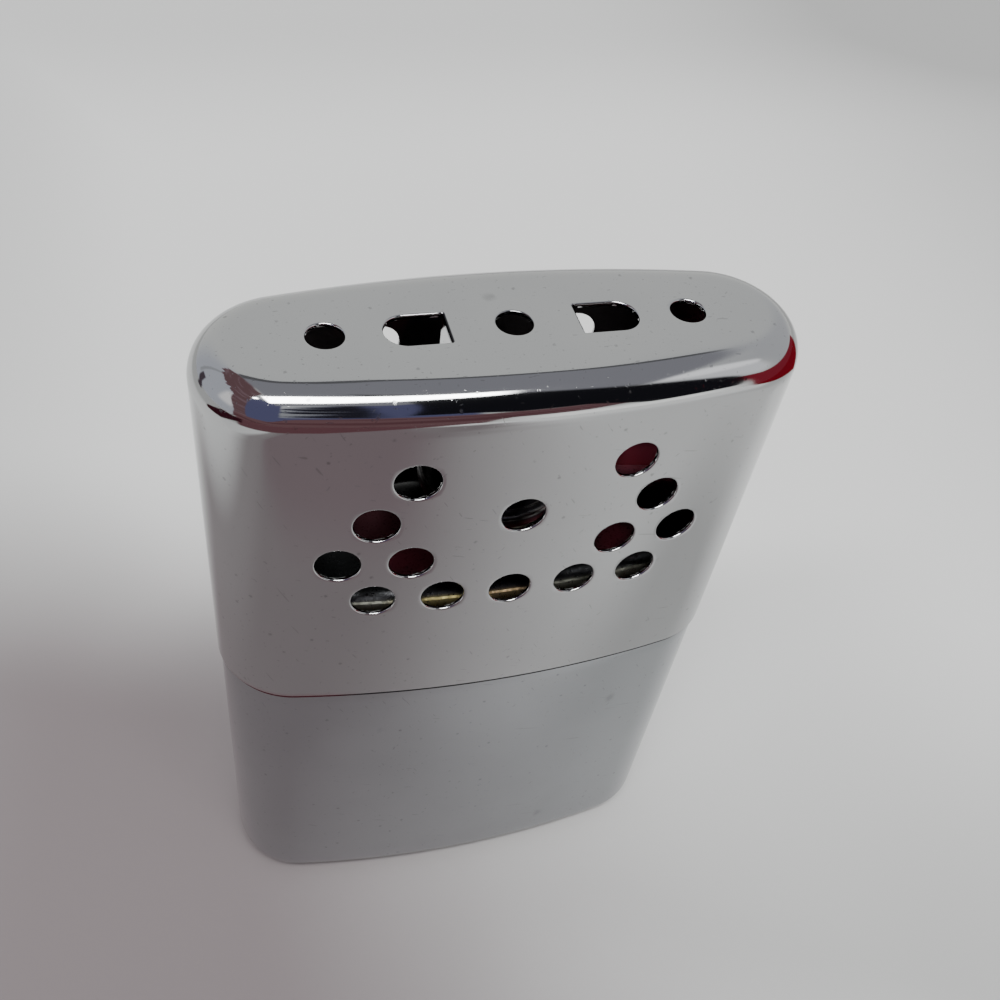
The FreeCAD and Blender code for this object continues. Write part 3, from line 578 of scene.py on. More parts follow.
class Sheet:
    """Collects the points and faces of one piece, and which faces are its inside."""

    def __init__(self):
        self.points = []
        self.faces = []
        self.inside = []
        self.count = 0

    def add(self, points, faces, inside=False):
        self.points.append(np.asarray(points, float))
        self.faces.extend(tuple(int(i) + self.count for i in face) for face in faces)
        self.inside.extend([inside] * len(faces))
        self.count += len(points)

    def loft(self, rings, inside=False, left_out=frozenset(), closed=True):
        """Quads between rings. Faces point to the left of the way the rings go."""
        size = len(rings[0])
        faces = []
        for row in range(len(rings) - 1):
            for column in range(size if closed else size - 1):
                if (row, column) in left_out:
                    continue
                here, after = column, (column + 1) % size
                faces.append((row * size + here, row * size + after,
                              (row + 1) * size + after, (row + 1) * size + here))
        self.add(np.vstack(rings), faces, inside)

    def plate(self, outer, holes, level, up, inside=False):
        """Flat plate with openings, cut into triangles."""
        loops = [np.asarray(loop)[:, :2] for loop in (outer, *holes)]
        plan, edges = [], []
        for loop in loops:
            first = len(plan)
            plan.extend(Vector(point) for point in loop)
            edges.extend((first + i, first + (i + 1) % len(loop)) for i in range(len(loop)))
        points, _, faces, *_ = delaunay_2d_cdt(plan, edges, [], 0, 1e-9)
        flat = np.array([tuple(point) for point in points])
        centres = np.array([flat[list(face)].mean(0) for face in faces])
        keep = within(centres, loops[0])
        for loop in loops[1:]:
            keep &= ~within(centres, loop)
        faces = [tuple(face) if up else tuple(face)[::-1]
                 for face, kept in zip(faces, keep) if kept]
        self.add(np.c_[flat, np.full(len(flat), level)], faces, inside)

    def mesh(self, name, marked=False):
        """One mesh with its doubles merged, which may mark the faces of its inside."""
        mesh = bpy.data.meshes.new(name)
        mesh.from_pydata(np.vstack(self.points).tolist(), [], self.faces)
        if marked:
            inside = mesh.attributes.new("inside", "BOOLEAN", "FACE")
            inside.data.foreach_set("value", self.inside)
        shape = bmesh.new()
        shape.from_mesh(mesh)
        bmesh.ops.remove_doubles(shape, verts=shape.verts, dist=WELD)
        shape.to_mesh(mesh)
        shape.free()
        return mesh


def within(points, loop):
    """Which points lie inside a closed plan loop."""
    x, y = points[:, 0], points[:, 1]
    hits = np.zeros(len(points), bool)
    for (ax, ay), (bx, by) in zip(loop, np.roll(loop, -1, axis=0)):
        crosses = (ay > y) != (by > y)
        rise = by - ay if by != ay else 1e-12
        hits ^= crosses & (x < (bx - ax) * (y - ay) / rise + ax)
    return hits


def arc(steps):
    """Angles of a quarter turn, in steps."""
    return [math.pi / 2 * i / steps for i in range(steps + 1)]


def rounded(start, corner, stop, steps):
    """Quarter turn of (inset, level) pairs that rounds off the corner between two points."""
    start, corner, stop = np.array(start), np.array(corner), np.array(stop)
    return [tuple(corner + (start - corner) * (1 - math.sin(angle))
                  + (stop - corner) * (1 - math.cos(angle))) for angle in arc(steps)]


def directions(angles):
    """Unit directions in plan, one for each angle."""
    return np.c_[np.cos(angles), np.sin(angles)]


def smooth_by_angle(mesh, degrees):
    """Same mesh with smooth faces, and the edges over an angle kept sharp."""
    for polygon in mesh.polygons:
        polygon.use_smooth = True
    mesh.set_sharp_from_angle(angle=math.radians(degrees))
    return mesh


def piece(name, mesh, body, slot, node):
    """Puts a finished mesh into the frame in a node's place, as a piece that rides on a body."""
    thing = bpy.data.objects.new(name, mesh)
    bpy.context.scene.collection.objects.link(thing)
    if not mesh.materials:
        mesh.materials.append(finish(slot))
    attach(thing, body)
    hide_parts(node)


def through_tree(mesh, tree, values):
    """Runs a mesh through a node tree and returns the resulting mesh."""
    thing = bpy.data.objects.new("blank", mesh)
    bpy.context.scene.collection.objects.link(thing)
    modifier = thing.modifiers.new(tree.name, "NODES")
    modifier.node_group = tree
    for item in tree.interface.items_tree:
        if item.item_type == "SOCKET" and item.in_out == "INPUT" and item.name in values:
            modifier[item.identifier] = values[item.name]
    bpy.context.view_layer.update()
    result = bpy.data.meshes.new_from_object(
        thing.evaluated_get(bpy.context.evaluated_depsgraph_get()))
    bpy.data.objects.remove(thing)
    bpy.data.meshes.remove(mesh)
    return result


def open_tree(name, sizes, painted=True):
    """Geometry tree that takes a mesh, sizes and a material; returns it, its nodes and inputs."""
    tree = bpy.data.node_groups.new(name, "GeometryNodeTree")
    kinds = {"Geometry": "Geometry", **dict.fromkeys(sizes, "Float")}
    if painted:
        kinds["Material"] = "Material"
    for label, kind in kinds.items():
        tree.interface.new_socket(label, in_out="INPUT", socket_type="NodeSocket" + kind)
    tree.interface.new_socket("Geometry", in_out="OUTPUT", socket_type="NodeSocketGeometry")
    nodes = Nodes(tree)
    group = nodes.add("NodeGroupInput")
    return tree, nodes, {label: group.named(label) for label in kinds}


def close_tree(nodes, geometry, material):
    """Makes all copies real and gives them their material."""
    realized = nodes.add("GeometryNodeRealizeInstances", None, (geometry,))
    painted = nodes.add("GeometryNodeSetMaterial", None,
                        {"Geometry": realized, "Material": material})
    nodes.add("NodeGroupOutput", None, (painted,))


def points_of(nodes):
    """Coordinates of the points that the next node moves."""
    return nodes.add("GeometryNodeInputPosition").parts()


def moved(nodes, geometry, x, y, z):
    """Geometry with its points at new coordinates."""
    return nodes.add("GeometryNodeSetPosition", None,
                     {"Geometry": geometry, "Position": nodes.vector(x, y, z)})


def copies(nodes, points, shape, turns=None):
    """Copies of a shape on points, made real."""
    stamps = nodes.add("GeometryNodeInstanceOnPoints", None,
                       {"Points": points, "Instance": shape, **(turns or {})})
    return nodes.add("GeometryNodeRealizeInstances", None, (stamps,))


def joined(nodes, *parts):
    """Several geometries as one."""
    return nodes.add("GeometryNodeJoinGeometry", None, {0: list(parts)})


def welded(nodes, geometry):
    """Geometry with its doubles merged."""
    return nodes.add("GeometryNodeMergeByDistance", None,
                     {"Geometry": geometry, "Distance": WELD})


def straight(nodes, start, end, count):
    """Straight curve of evenly spaced points."""
    whole = nodes.add("GeometryNodeCurvePrimitiveLine", None, {"Start": start, "End": end})
    return nodes.add("GeometryNodeResampleCurve", {"mode": "COUNT"},
                     {"Curve": whole, "Count": count})


def wires_along(nodes, curves, radius, sides):
    """Curves drawn as round wires with closed ends."""
    section = nodes.add("GeometryNodeCurvePrimitiveCircle", {"mode": "RADIUS"},
                        {"Resolution": sides, "Radius": radius})
    return nodes.add("GeometryNodeCurveToMesh", None,
                     {"Curve": curves, "Profile Curve": section, "Fill Caps": True})


# --- cover

def collar(nodes, radius, rim, sheet, width, height, across, up):
    """Punched hole in a rectangular cell of sheet: (sideways, depth, height) about its middle.

    The mesh steps round the cell match the sheet's own columns and rows. Of the rings, 0 to 3
    lie on the outer face, 3 to 6 round into the hole, 6 to 7 go through the sheet, 7 to 9 round
    out of it and 9 to 12 lie on the inner face.
    """
    around, rings = 2 * (across + up), 12
    grid = nodes.add("GeometryNodeMeshGrid", None,
                     {"Size X": float(around), "Size Y": float(rings),
                      "Vertices X": around + 1, "Vertices Y": rings + 1})
    u, v, _ = points_of(nodes)
    u, v = u + around / 2, v + rings / 2
    side = (u.between(0.0, across) - (u - (across + up)).between(0.0, across)) / across - 0.5
    rise = (((u - across).between(0.0, up) - (u - (2 * across + up)).between(0.0, up)) / up) - 0.5
    edge_x, edge_z = side * width, rise * height
    reach = (edge_x * edge_x + edge_z * edge_z) ** 0.5
    draw_in = (v / 3.0).between(0.0, 1.0) ** 0.55
    draw_out = ((v - 9.0) / 3.0).between(0.0, 1.0) ** 1.8
    outer_turn = ((v - 3.0) / 3.0).between(0.0, 1.0) * (math.pi / 2)
    inner_turn = ((v - 7.0) / 2.0).between(0.0, 1.0) * (math.pi / 2)
    hole = (radius + rim * (1.0 - outer_turn.math("SINE"))
            + rim * 0.5 * (1.0 - inner_turn.math("COSINE")))
    depth = (rim * (1.0 - outer_turn.math("COSINE"))
             + (sheet - rim * 1.5) * (v - 6.0).between(0.0, 1.0)
             + rim * 0.5 * inner_turn.math("SINE"))
    cell = 1.0 - draw_in + draw_out
    spread = hole / reach * (1.0 - cell) + cell
    marked = nodes.add("GeometryNodeStoreNamedAttribute",
                       {"data_type": "BOOLEAN", "domain": "FACE"},
                       {"Geometry": grid, "Name": "inside", "Value": v > 8.0})
    return welded(nodes, moved(nodes, marked, edge_x * spread, depth, edge_z * spread))


def vent_tree(chrome, inside):
    """Fills the open cells of the cover with punched vents, bent to the sheet."""
    tree, nodes, given = open_tree("Pressed vents", (
        "Vent Radius", "Top Vent Radius", "Rim", "Sheet", "Cell Width", "Cell Height",
        "Top Cell", "Side Radius", "Side Centre", "Top Level"), painted=False)

    def centres(kind):
        """The sheet's own points (0), or the centres of the side (1) or top (2) vents."""
        mark = nodes.add("GeometryNodeInputNamedAttribute", {"data_type": "FLOAT"},
                         {"Name": "vent"})
        chosen = mark.math("COMPARE", kind, 0.1)
        return nodes.add("GeometryNodeSeparateGeometry", {"domain": "POINT"},
                         {"Geometry": given["Geometry"], "Selection": chosen})

    def punched(kind, radius, width, height, across, up):
        """Collars on their centres, and the coordinates of their points."""
        shape = collar(nodes, given[radius], given["Rim"], given["Sheet"], given[width],
                       given[height], across, up)
        return copies(nodes, centres(kind), shape), *points_of(nodes)

    side, x, depth, z = punched(1.0, "Vent Radius", "Cell Width", "Cell Height",
                                2 * CELL_STEPS, ROW_STEPS)
    sine = x / given["Side Radius"]
    cosine = (1.0 - sine * sine) ** 0.5
    radius = given["Side Radius"] - depth
    front = moved(nodes, side, radius * sine, given["Side Centre"] - radius * cosine, z)
    back = nodes.add("GeometryNodeTransform", None,
                     {"Geometry": front, "Rotation": (0.0, 0.0, math.pi)})
    flat, x, depth, z = punched(2.0, "Top Vent Radius", "Top Cell", "Top Cell",
                                TOP_CELL_STEPS, TOP_CELL_STEPS)
    top = moved(nodes, flat, x, z, given["Top Level"] - depth)
    whole = welded(nodes, joined(nodes, centres(0.0), front, back, top))
    realized = nodes.add("GeometryNodeRealizeInstances", None, (whole,))
    plated = nodes.add("GeometryNodeSetMaterial", None,
                       {"Geometry": realized, "Material": chrome})
    hidden = nodes.add("GeometryNodeInputNamedAttribute", {"data_type": "BOOLEAN"},
                       {"Name": "inside"})
    lined = nodes.add("GeometryNodeSetMaterial", None,
                      {"Geometry": plated, "Selection": hidden, "Material": inside})
    nodes.add("NodeGroupOutput", None, (lined,))
    return tree


def slot_outline(vents, side):
    """Points and outward directions round a slot, and how far each lies on its flat end.

    Also gives the indices of the points along the flat end.
    """
    corner, tab_steps = 0.00014, 12
    flat, half = vents.slot_flat + corner, vents.slot_radius - corner
    steps = []  # sideways, depth, outward angle and part of the flat end

    def turned(x, y, radius, angles, start, stop):
        """Points on an arc, as their part of the flat end goes from start to stop."""
        steps.extend((x + radius * math.cos(angle), y + radius * math.sin(angle), angle, part)
                     for angle, part in zip(angles, np.linspace(start, stop, len(angles))))

    turned(flat, -half, corner, np.linspace(math.pi, 1.5 * math.pi, 5), 0.5, 0.0)
    for x in np.linspace(flat, vents.slot_round, 8)[1:-1]:
        steps.append((x, -vents.slot_radius, 1.5 * math.pi, 0.0))
    turned(vents.slot_round, 0.0, vents.slot_radius,
           np.linspace(-math.pi / 2, math.pi / 2, 29), 0.0, 0.0)
    for x in np.linspace(vents.slot_round, flat, 8)[1:-1]:
        steps.append((x, vents.slot_radius, math.pi / 2, 0.0))
    turned(flat, half, corner, np.linspace(math.pi / 2, math.pi, 5), 0.0, 0.5)
    for y in np.linspace(half, -half, tab_steps + 1)[1:-1]:
        steps.append((vents.slot_flat, y, math.pi, 0.5))
    data = np.array(steps)
    points, outward = data[:, :2], directions(data[:, 2])
    if side < 0:
        points, outward = -points, -outward
    tab = [*range(len(steps) - tab_steps, len(steps)), 0]
    return points, outward, np.clip(data[:, 3] * 2, 0, 1), tab


def add_slot(sheet, shells, vents, side):
    """One top slot with its rounded rim and the tab bent down from its flat end.

    Returns the loops that it cuts out of the top's upper and lower faces.
    """
    points, outward, bent, tab = slot_outline(vents, side)
    top, under = shells.height, shells.height - shells.sheet
    rounding = (vents.rim + (vents.bend - vents.rim) * bent)[:, None]
    rings = []
    for angle in arc(5):
        plan = points + outward * rounding * (1 - math.sin(angle))
        rings.append(np.c_[plan, top - rounding * (1 - math.cos(angle))])
    rings.append(np.c_[points, np.full(len(points), under)])
    sheet.loft(rings)
    front = np.c_[points, np.full(len(points), under)][tab]
    back = front - np.array([side * shells.sheet, 0.0, 0.0])
    foot = top - (vents.slot_round - vents.slot_flat) - vents.slot_radius
    centre = foot + vents.slot_radius
    rows = 14
    drop = centre - np.sqrt(np.maximum(front[0, 1] ** 2 - front[:, 1] ** 2, 0.0))

    def hanging(edge):
        return [np.c_[edge[:, :2], under + (drop - under) * (i / rows)] for i in range(rows + 1)]

    fronts, backs = hanging(front), hanging(back)
    sheet.loft(fronts, closed=False)
    sheet.loft(backs[::-1], closed=False)
    for column, turned in ((0, False), (-1, True)):
        strip = [np.array([a[column], b[column]]) for a, b in zip(fronts, backs)]
        sheet.loft(strip if turned else strip[::-1], closed=False)
    sheet.loft([fronts[-1], backs[-1]], closed=False)
    return points + outward * rounding, np.vstack((points[:tab[0] + 1], back[:, :2]))


def cell_loop(centre, size, steps):
    """Points round a square cell of the top."""
    side = np.linspace(-size / 2, size / 2, steps + 1)[:-1]
    half = np.full(steps, size / 2)
    loop = (np.c_[side, -half], np.c_[half, side], np.c_[-side, half], np.c_[-half, -side])
    return np.vstack(loop) + np.array([centre, 0.0])


def cover_mesh(shells, vents, chrome, inside):
    """Slip-over cover with vents in both faces, and vents, slots and tabs in its top."""
    step = vents.column / CELL_STEPS
    columns = 2 * 6 * CELL_STEPS
    oval = Oval(shells, [step * (i - columns // 2) for i in range(columns + 1)], END_STEPS)
    rise = vents.row / ROW_STEPS
    band_low = vents.first_row - (len(VENT_ROWS) - 0.5) * vents.row
    band = [band_low + rise * i for i in range(len(VENT_ROWS) * ROW_STEPS + 1)]
    edge, lip, wall = shells.cover_edge, shells.lip, shells.sheet
    top, under, radius = shells.height, shells.height - wall, shells.cover_radius
    turn, flat = top - radius, radius + FLAT_START
    lower = list(np.linspace(edge + lip * 1.6, band_low, 14)[:-1])
    levels = lower + band + list(np.linspace(band[-1], turn, 5)[1:])

    def vented(falling):
        """Faces of the wall that vents take up, as (row, column) pairs."""
        faces = set()
        for row, places in enumerate(VENT_ROWS):
            first = len(lower) + (len(VENT_ROWS) - 1 - row) * ROW_STEPS
            for place in places:
                left = 1 + columns // 2 + (place - 1) * CELL_STEPS
                faces.update((len(levels) - 2 - line if falling else line, column + behind)
                             for line in range(first, first + ROW_STEPS)
                             for column in range(left, left + 2 * CELL_STEPS)
                             for behind in (0, oval.columns // 2))
        return faces

    sheet = Sheet()
    sheet.loft(oval.rings((0.0, level) for level in levels), left_out=vented(False))
    sheet.loft(oval.rings((wall, level) for level in levels[::-1]), inside=True,
               left_out=vented(True))
    over = rounded((0.0, turn), (0.0, top), (radius, top), 22)
    sheet.loft(oval.rings([*over, (flat, top)]))
    hollow = rounded((wall, turn), (wall, under), (radius, under), 14)
    sheet.loft(oval.rings([*hollow, (flat, under)][::-1]), inside=True)
    sheet.loft(oval.rings([(wall, levels[0]),
                           *rounded((wall, edge + lip), (wall, edge), (wall - lip, edge), 4),
                           *rounded((lip, edge), (0.0, edge), (0.0, edge + lip), 4),
                           (0.0, levels[0])]))
    top_places = (-vents.top_offset, 0.0, vents.top_offset)
    cuts = [add_slot(sheet, shells, vents, side) for side in (1, -1)]
    cuts += [(cell_loop(place, TOP_CELL, TOP_CELL_STEPS),) * 2 for place in top_places]
    holes_up, holes_down = zip(*cuts)
    rim = oval.ring(flat, 0.0)
    sheet.plate(rim, holes_up, top, up=True)
    sheet.plate(rim, holes_down, under, up=False, inside=True)
    mesh = sheet.mesh("cover_blank", marked=True)
    centres = [(vents.column * place, 0.0, vents.first_row - vents.row * row, 1.0)
               for row, places in enumerate(VENT_ROWS) for place in places]
    centres += [(place, 0.0, 0.0, 2.0) for place in top_places]
    start = len(mesh.vertices)
    mesh.vertices.add(len(centres))
    mark = mesh.attributes.new("vent", "FLOAT", "POINT")
    for index, (x, y, z, kind) in enumerate(centres):
        mesh.vertices[start + index].co = (x, y, z)
        mark.data[start + index].value = kind
    mesh = through_tree(mesh, vent_tree(chrome, inside), {
        "Vent Radius": vents.radius, "Top Vent Radius": vents.top_radius, "Rim": vents.rim,
        "Sheet": shells.sheet, "Cell Width": 2 * vents.column, "Cell Height": vents.row,
        "Top Cell": TOP_CELL, "Side Radius": oval.side_radius, "Side Centre": oval.side_centre,
        "Top Level": shells.height})
    mesh.name = "cover_shell"
    for name in ("inside", "vent"):
        mesh.attributes.remove(mesh.attributes[name])
    return smooth_by_angle(mesh, 40)


# --- tank

def even_sides(count):
    """Places of the columns along a side arc, without its ends."""
    return list(np.linspace(-SIDE_END, SIDE_END, count)[1:-1])


def tank_mesh(shells):
    """Drawn lower shell of the tank."""
    oval = Oval(shells, even_sides(77), END_STEPS)
    side, radius, sheet = shells.tank_step, shells.tank_radius, shells.sheet
    wall, flat = side + sheet, side + radius + FLAT_START
    rim, lip = shells.tank_rim, shells.lip * 0.8
    path = [(flat, 0.0), *rounded((side + radius, 0.0), (side, 0.0), (side, radius), 20)]
    path += [(side, level) for level in np.linspace(radius, rim - lip, 20)[1:]]
    path += rounded((side, rim - lip), (side, rim), (side + lip, rim), 4)[1:]
    path += rounded((wall - lip, rim), (wall, rim), (wall, rim - lip), 4)
    path += [(wall, level) for level in np.linspace(rim - lip, radius, 12)[1:]]
    path += rounded((wall, radius), (wall, sheet), (side + radius, sheet), 10)[1:]
    path.append((flat, sheet))
    shell = Sheet()
    shell.loft(oval.rings(path))
    plan = oval.ring(flat, 0.0)
    shell.plate(plan, (), 0.0, up=False)
    shell.plate(plan, (), sheet, up=True)
    return smooth_by_angle(shell.mesh("tank_shell"), 40)


def deck_mesh(shells):
    """Drawn upper shell of the tank, with friction pips and a hole for the neck."""
    pip_radius, pip_height, pip_patch, pip_drop = 0.0011, 0.00025, 0.0014, 0.009
    end_patch = 0.12  # of a round end, finely stepped for the pip
    hole, hole_rim, foot_rim, turn_steps = 0.00605, 0.0001, 0.0001, 64
    near = np.linspace(-pip_patch, pip_patch, 15)
    far = np.linspace(pip_patch, SIDE_END, 30)[1:-1]
    ends = [*np.linspace(-1, -end_patch, 16)[1:], *np.linspace(-end_patch, end_patch, 15)[1:-1],
            *np.linspace(end_patch, 1, 16)[:-1]]
    oval = Oval(shells, [*(-far[::-1]), *near, *far], ends)
    side, sheet, radius = shells.deck_step, shells.sheet, shells.shoulder
    foot, top = shells.deck_foot, shells.deck_level
    wall, flat, under = side + sheet, side + radius + FLAT_START, top - sheet
    pip_level = top - pip_drop
    pips = np.array([(0, side - shells.depth / 2), (0, shells.depth / 2 - side),
                     (side - shells.width / 2, 0), (shells.width / 2 - side, 0)])
    plan = oval.ring(side, 0.0)[:, :2]
    sideways = np.min(np.linalg.norm(plan[:, None] - pips[None], axis=2), axis=1)

    def stand(level):
        """How far each column stands out at a level."""
        away = np.sqrt(sideways ** 2 + (level - pip_level) ** 2) / pip_radius
        return pip_height * 0.5 * (1 + np.cos(math.pi * np.clip(away, 0, 1)))

    low, high = pip_level - pip_patch, pip_level + pip_patch
    walls = [*np.linspace(foot + foot_rim, low, 12), *np.linspace(low, high, 15)[1:],
             *np.linspace(high, top - radius, 6)[1:]]
    rings = oval.rings([(wall, walls[0]), (wall - foot_rim, foot), (side + foot_rim, foot)])
    rings += oval.rings((side - stand(level), level) for level in walls)
    rings += oval.rings(rounded((side, top - radius), (side, top), (side + radius, top), 16)[1:])
    rings.append(oval.ring(flat, top))
    hollow = oval.rings([(flat, under), *rounded((side + radius, under), (wall, under),
                                                 (wall, top - radius), 8)])
    hollow += oval.rings((wall - stand(level), level) for level in walls[::-1])
    shell = Sheet()
    shell.loft(rings)
    shell.loft(hollow)
    circle = directions(np.linspace(0, TURN, turn_steps + 1)[:-1])
    mouth = rounded((hole + hole_rim, top), (hole, top), (hole, top - hole_rim), 3)
    shell.loft([np.c_[circle * reach, np.full(turn_steps, level)]
                for reach, level in (*mouth, (hole, under))])
    plate = oval.ring(flat, 0.0)
    shell.plate(plate, (circle * (hole + hole_rim),), top, up=True)
    shell.plate(plate, (circle * hole,), under, up=False)
    return smooth_by_angle(shell.mesh("deck_shell"), 40)


# --- fillings and gauzes

def gauze_tree():
    """Round piece of plain-woven wire gauze."""
    tree, nodes, given = open_tree("Woven gauze", ("Radius", "Level", "Pitch", "Wire"))
    pitch, radius, level, wire = (given[name] for name in ("Pitch", "Radius", "Level", "Wire"))
    reach = (radius / pitch - 0.4).math("FLOOR")
    starts = nodes.add("GeometryNodeMeshLine", {"mode": "OFFSET"},
                       {"Count": reach * 2.0 + 1.0,
                        "Start Location": nodes.vector(0.0, -(reach * pitch), 0.0),
                        "Offset": nodes.vector(0.0, pitch, 0.0)})
    lines = copies(nodes, starts, straight(nodes, (-1.0, 0.0, 0.0), (1.0, 0.0, 0.0), 97))
    x, y, _ = points_of(nodes)
    x = x * (radius * radius - y * y).most(0.0) ** 0.5
    phase = (x + y) / pitch * math.pi
    wave = phase.math("COSINE") * wire
    wires = joined(nodes, moved(nodes, lines, x, y, level + wave),
                   moved(nodes, lines, y, x, level - wave))
    close_tree(nodes, wires_along(nodes, wires, wire, 5), given["Material"])
    return tree


def fibre_tree():
    """Covers a packed body with loose curled fibres, held within a round space."""
    tree, nodes, given = open_tree("Loose fibres",
                                   ("Density", "Fibre", "Curl", "Reach", "Low", "High"))
    spread = nodes.add("GeometryNodeDistributePointsOnFaces", {"distribute_method": "RANDOM"},
                       {"Mesh": given["Geometry"], "Density": given["Density"], "Seed": 5})
    lean = nodes.add("FunctionNodeRandomValue", {"data_type": "FLOAT_VECTOR"},
                     {0: (-0.16, -0.16, 0.0), 1: (0.16, 0.16, TURN), "Seed": 7})
    turned = nodes.add("FunctionNodeRotateRotation", {"rotation_space": "LOCAL"},
                       {"Rotation": spread.named("Rotation"), "Rotate By": lean})
    size = nodes.add("FunctionNodeRandomValue", {"data_type": "FLOAT"},
                     {2: 0.6, 3: 1.5, "Seed": 9}, output=1)
    curl = nodes.add("GeometryNodeCurveArc", {"mode": "RADIUS"},
                     {"Resolution": 6, "Radius": given["Curl"], "Sweep Angle": 2.0})
    shifted = nodes.add("GeometryNodeTransform", None,
                        {"Geometry": curl,
                         "Translation": nodes.vector(-given["Curl"], 0.0, 0.0)})
    curls = copies(nodes, spread, shifted,
                   {"Rotation": turned, "Scale": nodes.vector(size, size, size)})
    x, y, z = points_of(nodes)
    held = (given["Reach"] / ((x * x + y * y) ** 0.5).most(1e-6)).least(1.0)
    curls = moved(nodes, curls, x * held, y * held, z.most(given["Low"]).least(given["High"]))
    fibres = wires_along(nodes, curls, given["Fibre"], 3)
    close_tree(nodes, joined(nodes, fibres, given["Geometry"]), given["Material"])
    return tree


def strand_tree():
    """Draws a twisted strand upwards from each given point."""
    tree, nodes, given = open_tree("Twisted strands", ("Foot", "Top", "Strand", "Twist"))
    foot, top = given["Foot"], given["Top"]
    upright = straight(nodes, nodes.vector(0.0, 0.0, foot), nodes.vector(0.0, 0.0, top), 40)
    lines = copies(nodes, given["Geometry"], upright)
    x, y, z = points_of(nodes)
    turn = (z - foot) / (top - foot) * given["Twist"]
    sine, cosine = turn.math("SINE"), turn.math("COSINE")
    twisted = moved(nodes, lines, x * cosine - y * sine, x * sine + y * cosine, z)
    close_tree(nodes, wires_along(nodes, twisted, given["Strand"], 10), given["Material"])
    return tree


def packed_disc(name, low, high, lumps):
    """Round packed body between two corners of its space, uneven but within that space."""
    grain, turn_steps, widest_edge = 700.0, 72, 0.0008
    radius, bottom, top = high.x, low.z, high.z
    edge = min(widest_edge, (top - bottom) * 0.2)
    profile = [(radius * part, bottom) for part in np.linspace(0, 1, 10)[:-2]]
    profile += rounded((radius - edge, bottom), (radius, bottom), (radius, bottom + edge), 4)
    profile += [(radius, level) for level in np.linspace(bottom + edge, top - edge, 10)[1:]]
    profile += rounded((radius, top - edge), (radius, top), (radius - edge, top), 4)[1:]
    profile += [(radius * part, top) for part in np.linspace(1, 0, 12)[1:]]
    turns = np.linspace(0, TURN, turn_steps + 1)[:-1]
    middle = Vector((0, 0, (top + bottom) / 2))
    rings = []
    for reach, level in profile:
        ring = []
        for turn in turns:
            point = Vector((reach * math.cos(turn), reach * math.sin(turn), level))
            dip = lumps * (0.5 + 0.5 * noise.noise(point * grain))
            ring.append(point + (middle - point).normalized() * dip)
        rings.append(np.array(ring))
    body = Sheet()
    body.loft(rings)
    mesh = body.mesh(name)
    for polygon in mesh.polygons:
        polygon.use_smooth = True
    return mesh


def packed_tank(shells, lumps):
    """Wadding that fills the tank, uneven, with room for the wick."""
    low, high = (corner.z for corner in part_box("fuel_wadding"))
    oval = Oval(shells, even_sides(41), np.linspace(-1, 1, 23)[1:-1])
    inset = shells.width / 2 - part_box("fuel_wadding")[1].x
    corner, bore, grain = 0.003, 0.0053, 260.0
    circle = directions(np.arctan2(oval.normals[:, 1], oval.normals[:, 0])) * bore
    wick_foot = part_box("wick")[0].z

    def bored(level, reach=1.0):
        """Ring of the wick's bore, or its closed end where its reach is 0."""
        return np.c_[circle * reach, np.full(oval.columns, level)]

    path = rounded((inset + corner, low), (inset, low), (inset, low + corner), 6)
    path += [(inset, level) for level in np.linspace(low + corner, high - corner, 40)[1:]]
    path += rounded((inset, high - corner), (inset, high), (inset + corner, high), 6)[1:]
    walls = oval.rings(path)
    for ring in walls:
        for row, point in enumerate(ring):
            dip = lumps * (0.5 + 0.5 * noise.noise(Vector(point) * grain))
            ring[row, :2] -= oval.normals[row] * dip
    body = Sheet()
    body.loft([bored(low, 0.0), *walls, bored(high), bored((high + wick_foot) / 2),
               bored(wick_foot), bored(wick_foot, 0.0)])
    return smooth_by_angle(body.mesh("wadding"), 50)


def strand_starts(radius, strand):
    """Centres of a bundle of strands: one, six and twelve round it."""
    starts = [(0.0, 0.0, 0.0)]
    for ring in (1, 2):
        reach = (radius - strand) * ring / 2
        turns = [TURN * i / (6 * ring) for i in range(6 * ring)]
        starts += [(reach * math.cos(turn), reach * math.sin(turn), 0.0) for turn in turns]
    mesh = bpy.data.meshes.new("strand_starts")
    mesh.from_pydata(starts, [], [])
    return mesh


# --- stage

